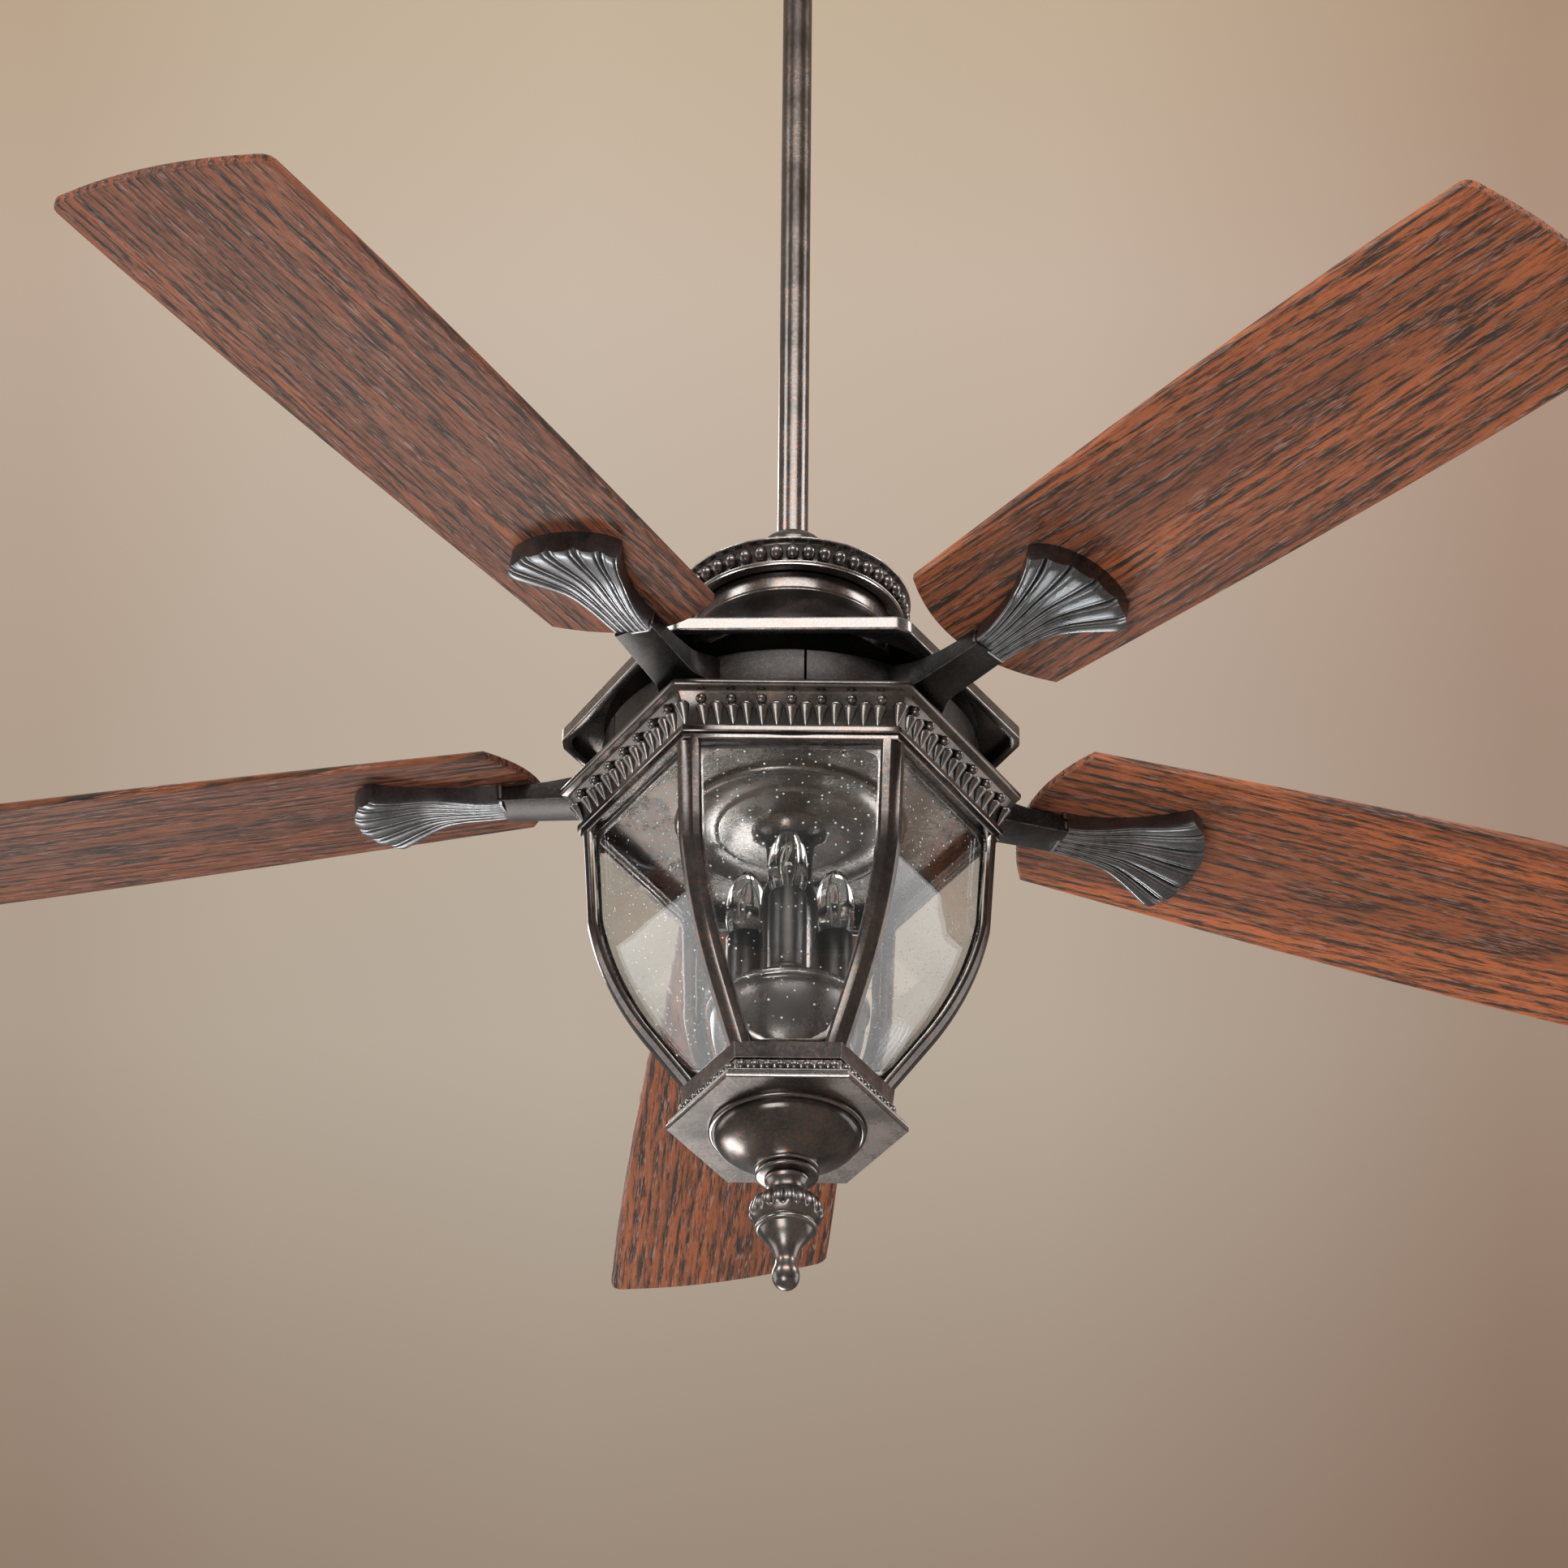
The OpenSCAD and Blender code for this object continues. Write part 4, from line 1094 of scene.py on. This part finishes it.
def collar():
    """Small flared plate where the bar meets the shell."""
    outline = fillet([(-13, -3), (-12.6, -14.6), (-11.6, -17), (11.6, -17), (12.6, -14.6), (13, -3)],
                     0.8)
    sections = []
    for x, scale in ((COLLAR_R, 0.96), (COLLAR_R + 0.5, 1.0), (COLLAR_R + 1.9, 1.0),
                     (COLLAR_R + 2.3, 0.97), (COLLAR_R + 4.6, 0.93)):
        sections.append([(x, SHELL_SHIFT + y * scale, -3 + (z + 3) * scale) for y, z in outline])
    return loft(sections)


def bar():
    """Bar from the foot to the collar, square in section with worn edges, flaring into the foot."""
    start = 111
    waist = 132
    cut = 1.1
    sections = []
    steps = 14
    for i in range(steps + 1):
        x = start + (COLLAR_R + 3 - start) * i / steps
        t = smoothstep((x - start) / 22)
        half = 21 * (1 - t) + t * (13.5 - (x - waist) / 50) - 0.15
        shift = BAR_SHIFT * max(0.0, (x - waist) / 50)
        top = -3 - 3.5 * min(1.0, (x - start) / 39)
        low = -22.9 + 5.7 * (x - start) / 71
        shape = [(-half, top - cut), (-half + cut, top), (half - cut, top), (half, top - cut),
                 (half, low + cut), (half - 0.3 * cut, low + 0.3 * cut), (half - cut, low),
                 (-half + cut, low), (-half + 0.3 * cut, low + 0.3 * cut), (-half, low + cut)]
        sections.append([(x, shift + y, z) for y, z in shape])
    return loft(sections)


def foot():
    """Curved foot that is screwed to the spinning case."""
    top, low = -1.2, -24
    profile = fillet([(70, low), (FOOT_R, low), (FOOT_R, top), (110, top), (110, -19), (90, -19),
                      (90, top), (70, top)], 1.3)
    sections = []
    half = math.radians(35.6)
    steps = 36
    for i in range(steps + 1):
        a = -half + 2 * half * i / steps
        sections.append([(r * math.cos(a), r * math.sin(a), z) for r, z in profile])
    return loft(sections)


def irons():
    """Blade irons, each a pewter shell and a dark arm, with the screws of feet and blades."""
    foot_screw_r = 80
    foot_screw_turn = math.radians(18)
    pitched = Matrix.Rotation(PITCH, 3, "X")
    upper = [turned(part, pitched) for part in (shell(), collar())]
    for k in range(1, BLADES + 1):
        for name, look, parts in (("shell", PEWTER, upper), ("arm", IRON, (foot(), bar()))):
            add_piece(f"iron_{name}_{k}", *join(*parts), look, "rotor", [f"blade_arm_{k}"], 42,
                      blade_turn(k, False))
    heads = []
    for k in range(1, BLADES + 1):
        for s in (-1, 1):
            a = FIRST_BLADE + (k - 1) * TAU / BLADES + s * foot_screw_turn
            x, y = foot_screw_r * math.cos(a), foot_screw_r * math.sin(a)
            heads.append(placed(dome_head(4.6, 2.0), x, y, -24, down=True))
        turn = blade_turn(k)
        for x, y in ((198, SHELL_SHIFT), (240, SHELL_SHIFT - 18), (240, SHELL_SHIFT + 18)):
            heads.append(turned(placed(dome_head(5.0, 1.9, 1.1), x, y, BLADE_T / 2), turn))
    add_piece("rotor_screw_heads", *join(*heads), STEEL, "rotor", ["rotor_screws"], 35)


# ---------------------------------------------------------------- stage

def softbox(name, place, width, height, watts, colour):
    """A rectangular light that faces the hub."""
    light = bpy.data.lights.new(name, "AREA")
    light.shape = "RECTANGLE"
    light.size = width
    light.size_y = height
    light.energy = watts
    light.color = colour
    obj = bpy.data.objects.new(name, light)
    obj.location = place
    obj.rotation_euler = (HUB - obj.location).to_track_quat("-Z", "Y").to_euler()
    bpy.context.collection.objects.link(obj)


def stage():
    """Plain warm backdrop, pale floor and soft lights."""
    world = bpy.data.worlds.new("studio")
    world.use_nodes = True
    nodes, links = world.node_tree.nodes, world.node_tree.links
    way = nodes.new("ShaderNodeSeparateXYZ")
    links.new(nodes.new("ShaderNodeTexCoord").outputs["Generated"], way.inputs[0])

    def fade(stops, value):
        ramp = nodes.new("ShaderNodeValToRGB")
        links.new(value, ramp.inputs["Fac"])
        while len(ramp.color_ramp.elements) < len(stops):
            ramp.color_ramp.elements.new(0.5)
        for element, (at, colour) in zip(ramp.color_ramp.elements, stops):
            element.position = at
            element.color = (*colour, 1)
        return ramp.outputs["Color"]

    # Dim neutral room, with a warm band behind the fan that is brightest in the middle
    room = fade(((0.0, (0.24, 0.24, 0.24)), (0.40, (0.24, 0.24, 0.24)), (0.445, (0.330, 0.255, 0.195)),
                 (0.475, (0.385, 0.310, 0.245)), (0.515, (0.485, 0.415, 0.335)),
                 (0.56, (0.515, 0.425, 0.345)), (0.61, (0.590, 0.485, 0.390)),
                 (0.645, (0.565, 0.455, 0.330)), (0.72, (0.24, 0.24, 0.24)), (0.9, (0.75, 0.75, 0.75))),
                way.outputs["Z"])
    shift = nodes.new("ShaderNodeMapRange")
    links.new(way.outputs["X"], shift.inputs["Value"])
    shift.inputs["From Min"].default_value = -0.12
    shift.inputs["From Max"].default_value = 0.12
    edges = fade(((0.035, (0.87, 0.82, 0.79)), (0.158, (0.95, 0.93, 0.92)), (0.363, (1.0, 1.0, 1.0)),
                  (0.67, (0.96, 0.93, 0.92)), (0.825, (0.85, 0.78, 0.76)), (0.963, (0.72, 0.61, 0.57))),
                 shift.outputs["Result"])
    both = nodes.new("ShaderNodeMix")
    both.data_type = "RGBA"
    both.blend_type = "MULTIPLY"
    both.inputs["Factor"].default_value = 1.0
    links.new(room, both.inputs[COLOUR_A])
    links.new(edges, both.inputs[COLOUR_B])
    links.new(both.outputs[2], nodes["Background"].inputs["Color"])
    bpy.context.scene.world = world
    bpy.context.scene.view_settings.view_transform = "Standard"

    floor = bpy.data.meshes.new("studio_floor")
    half = 30
    depth = -13.0  # low enough to stay out of the views from below
    corners = [(-half, -half, depth), (half, -half, depth), (half, half, depth), (-half, half, depth)]
    floor.from_pydata(corners, [], [(0, 1, 2, 3)])
    paint = Paint("floor_paint", Roughness=0.8)
    paint.put("Base Color", paint.mix(paint.noise(3, 3), (0.80, 0.78, 0.75), (0.84, 0.82, 0.79)))
    floor.materials.append(paint.material)
    floor_piece = bpy.data.objects.new("studio_floor", floor)
    bpy.context.collection.objects.link(floor_piece)

    # Soft boxes stand where the polished faces mirror them: in front and above for the upright
    # faces, behind and below for the faces that look down
    for name, way, width, height, watts, colour in (
            ("front_high", (0.02, -0.83, 0.56), 3.0, 0.8, 84, (1.0, 0.99, 0.98)),
            ("right_high", (0.82, -0.12, 0.55), 1.3, 0.9, 44, (0.93, 0.97, 1.0)),
            ("left_high", (-0.75, -0.37, 0.55), 1.1, 0.9, 40, (0.93, 0.97, 1.0)),
            ("back_high", (-0.32, 0.78, 0.53), 1.6, 1.0, 40, (0.97, 0.99, 1.0)),
            ("back_low", (-0.30, 0.80, -0.52), 1.9, 1.0, 80, (1.0, 0.99, 0.98)),
            ("left", (-0.95, 0.24, 0.02), 2.8, 2.6, 44, (1.0, 1.0, 1.0)),
            ("right", (0.95, 0.26, 0.02), 2.8, 2.6, 40, (1.0, 1.0, 1.0)),
            ("front_low", (-0.30, -0.75, -0.60), 1.6, 1.6, 56, (1.0, 0.98, 0.96))):
        softbox(name, HUB + Vector(way) * LIGHT_DISTANCE, width, height, watts, colour)


def camera():
    """The photo's view, solved from its perspective: far below the blades and in front."""
    up_angle = math.radians(33.37)
    swing = math.radians(-0.05)
    roll = math.radians(0.57)
    forward = Vector((math.sin(swing) * math.cos(up_angle), math.cos(swing) * math.cos(up_angle),
                      math.sin(up_angle)))
    right = Vector((math.cos(swing), -math.sin(swing), 0))
    up = right.cross(forward)
    right, up = (math.cos(roll) * right + math.sin(roll) * up,
                 math.cos(roll) * up - math.sin(roll) * right)
    data = bpy.data.cameras.new("photo_view")
    data.lens = 150.55
    data.sensor_width = 36
    obj = bpy.data.objects.new("photo_view", data)
    place = HUB + Vector((-0.001, -3.327, -2.2134))
    obj.matrix_world = Matrix.Translation(place) @ Matrix((right, up, -forward)).transposed().to_4x4()
    bpy.context.collection.objects.link(obj)
    bpy.context.scene.camera = obj


camera()
hang()
cap_and_housing()
crown()
ribs_and_bands()
panes()
lamp_parts()
bottom_cap()
finial_piece()
blades()
irons()
stage()
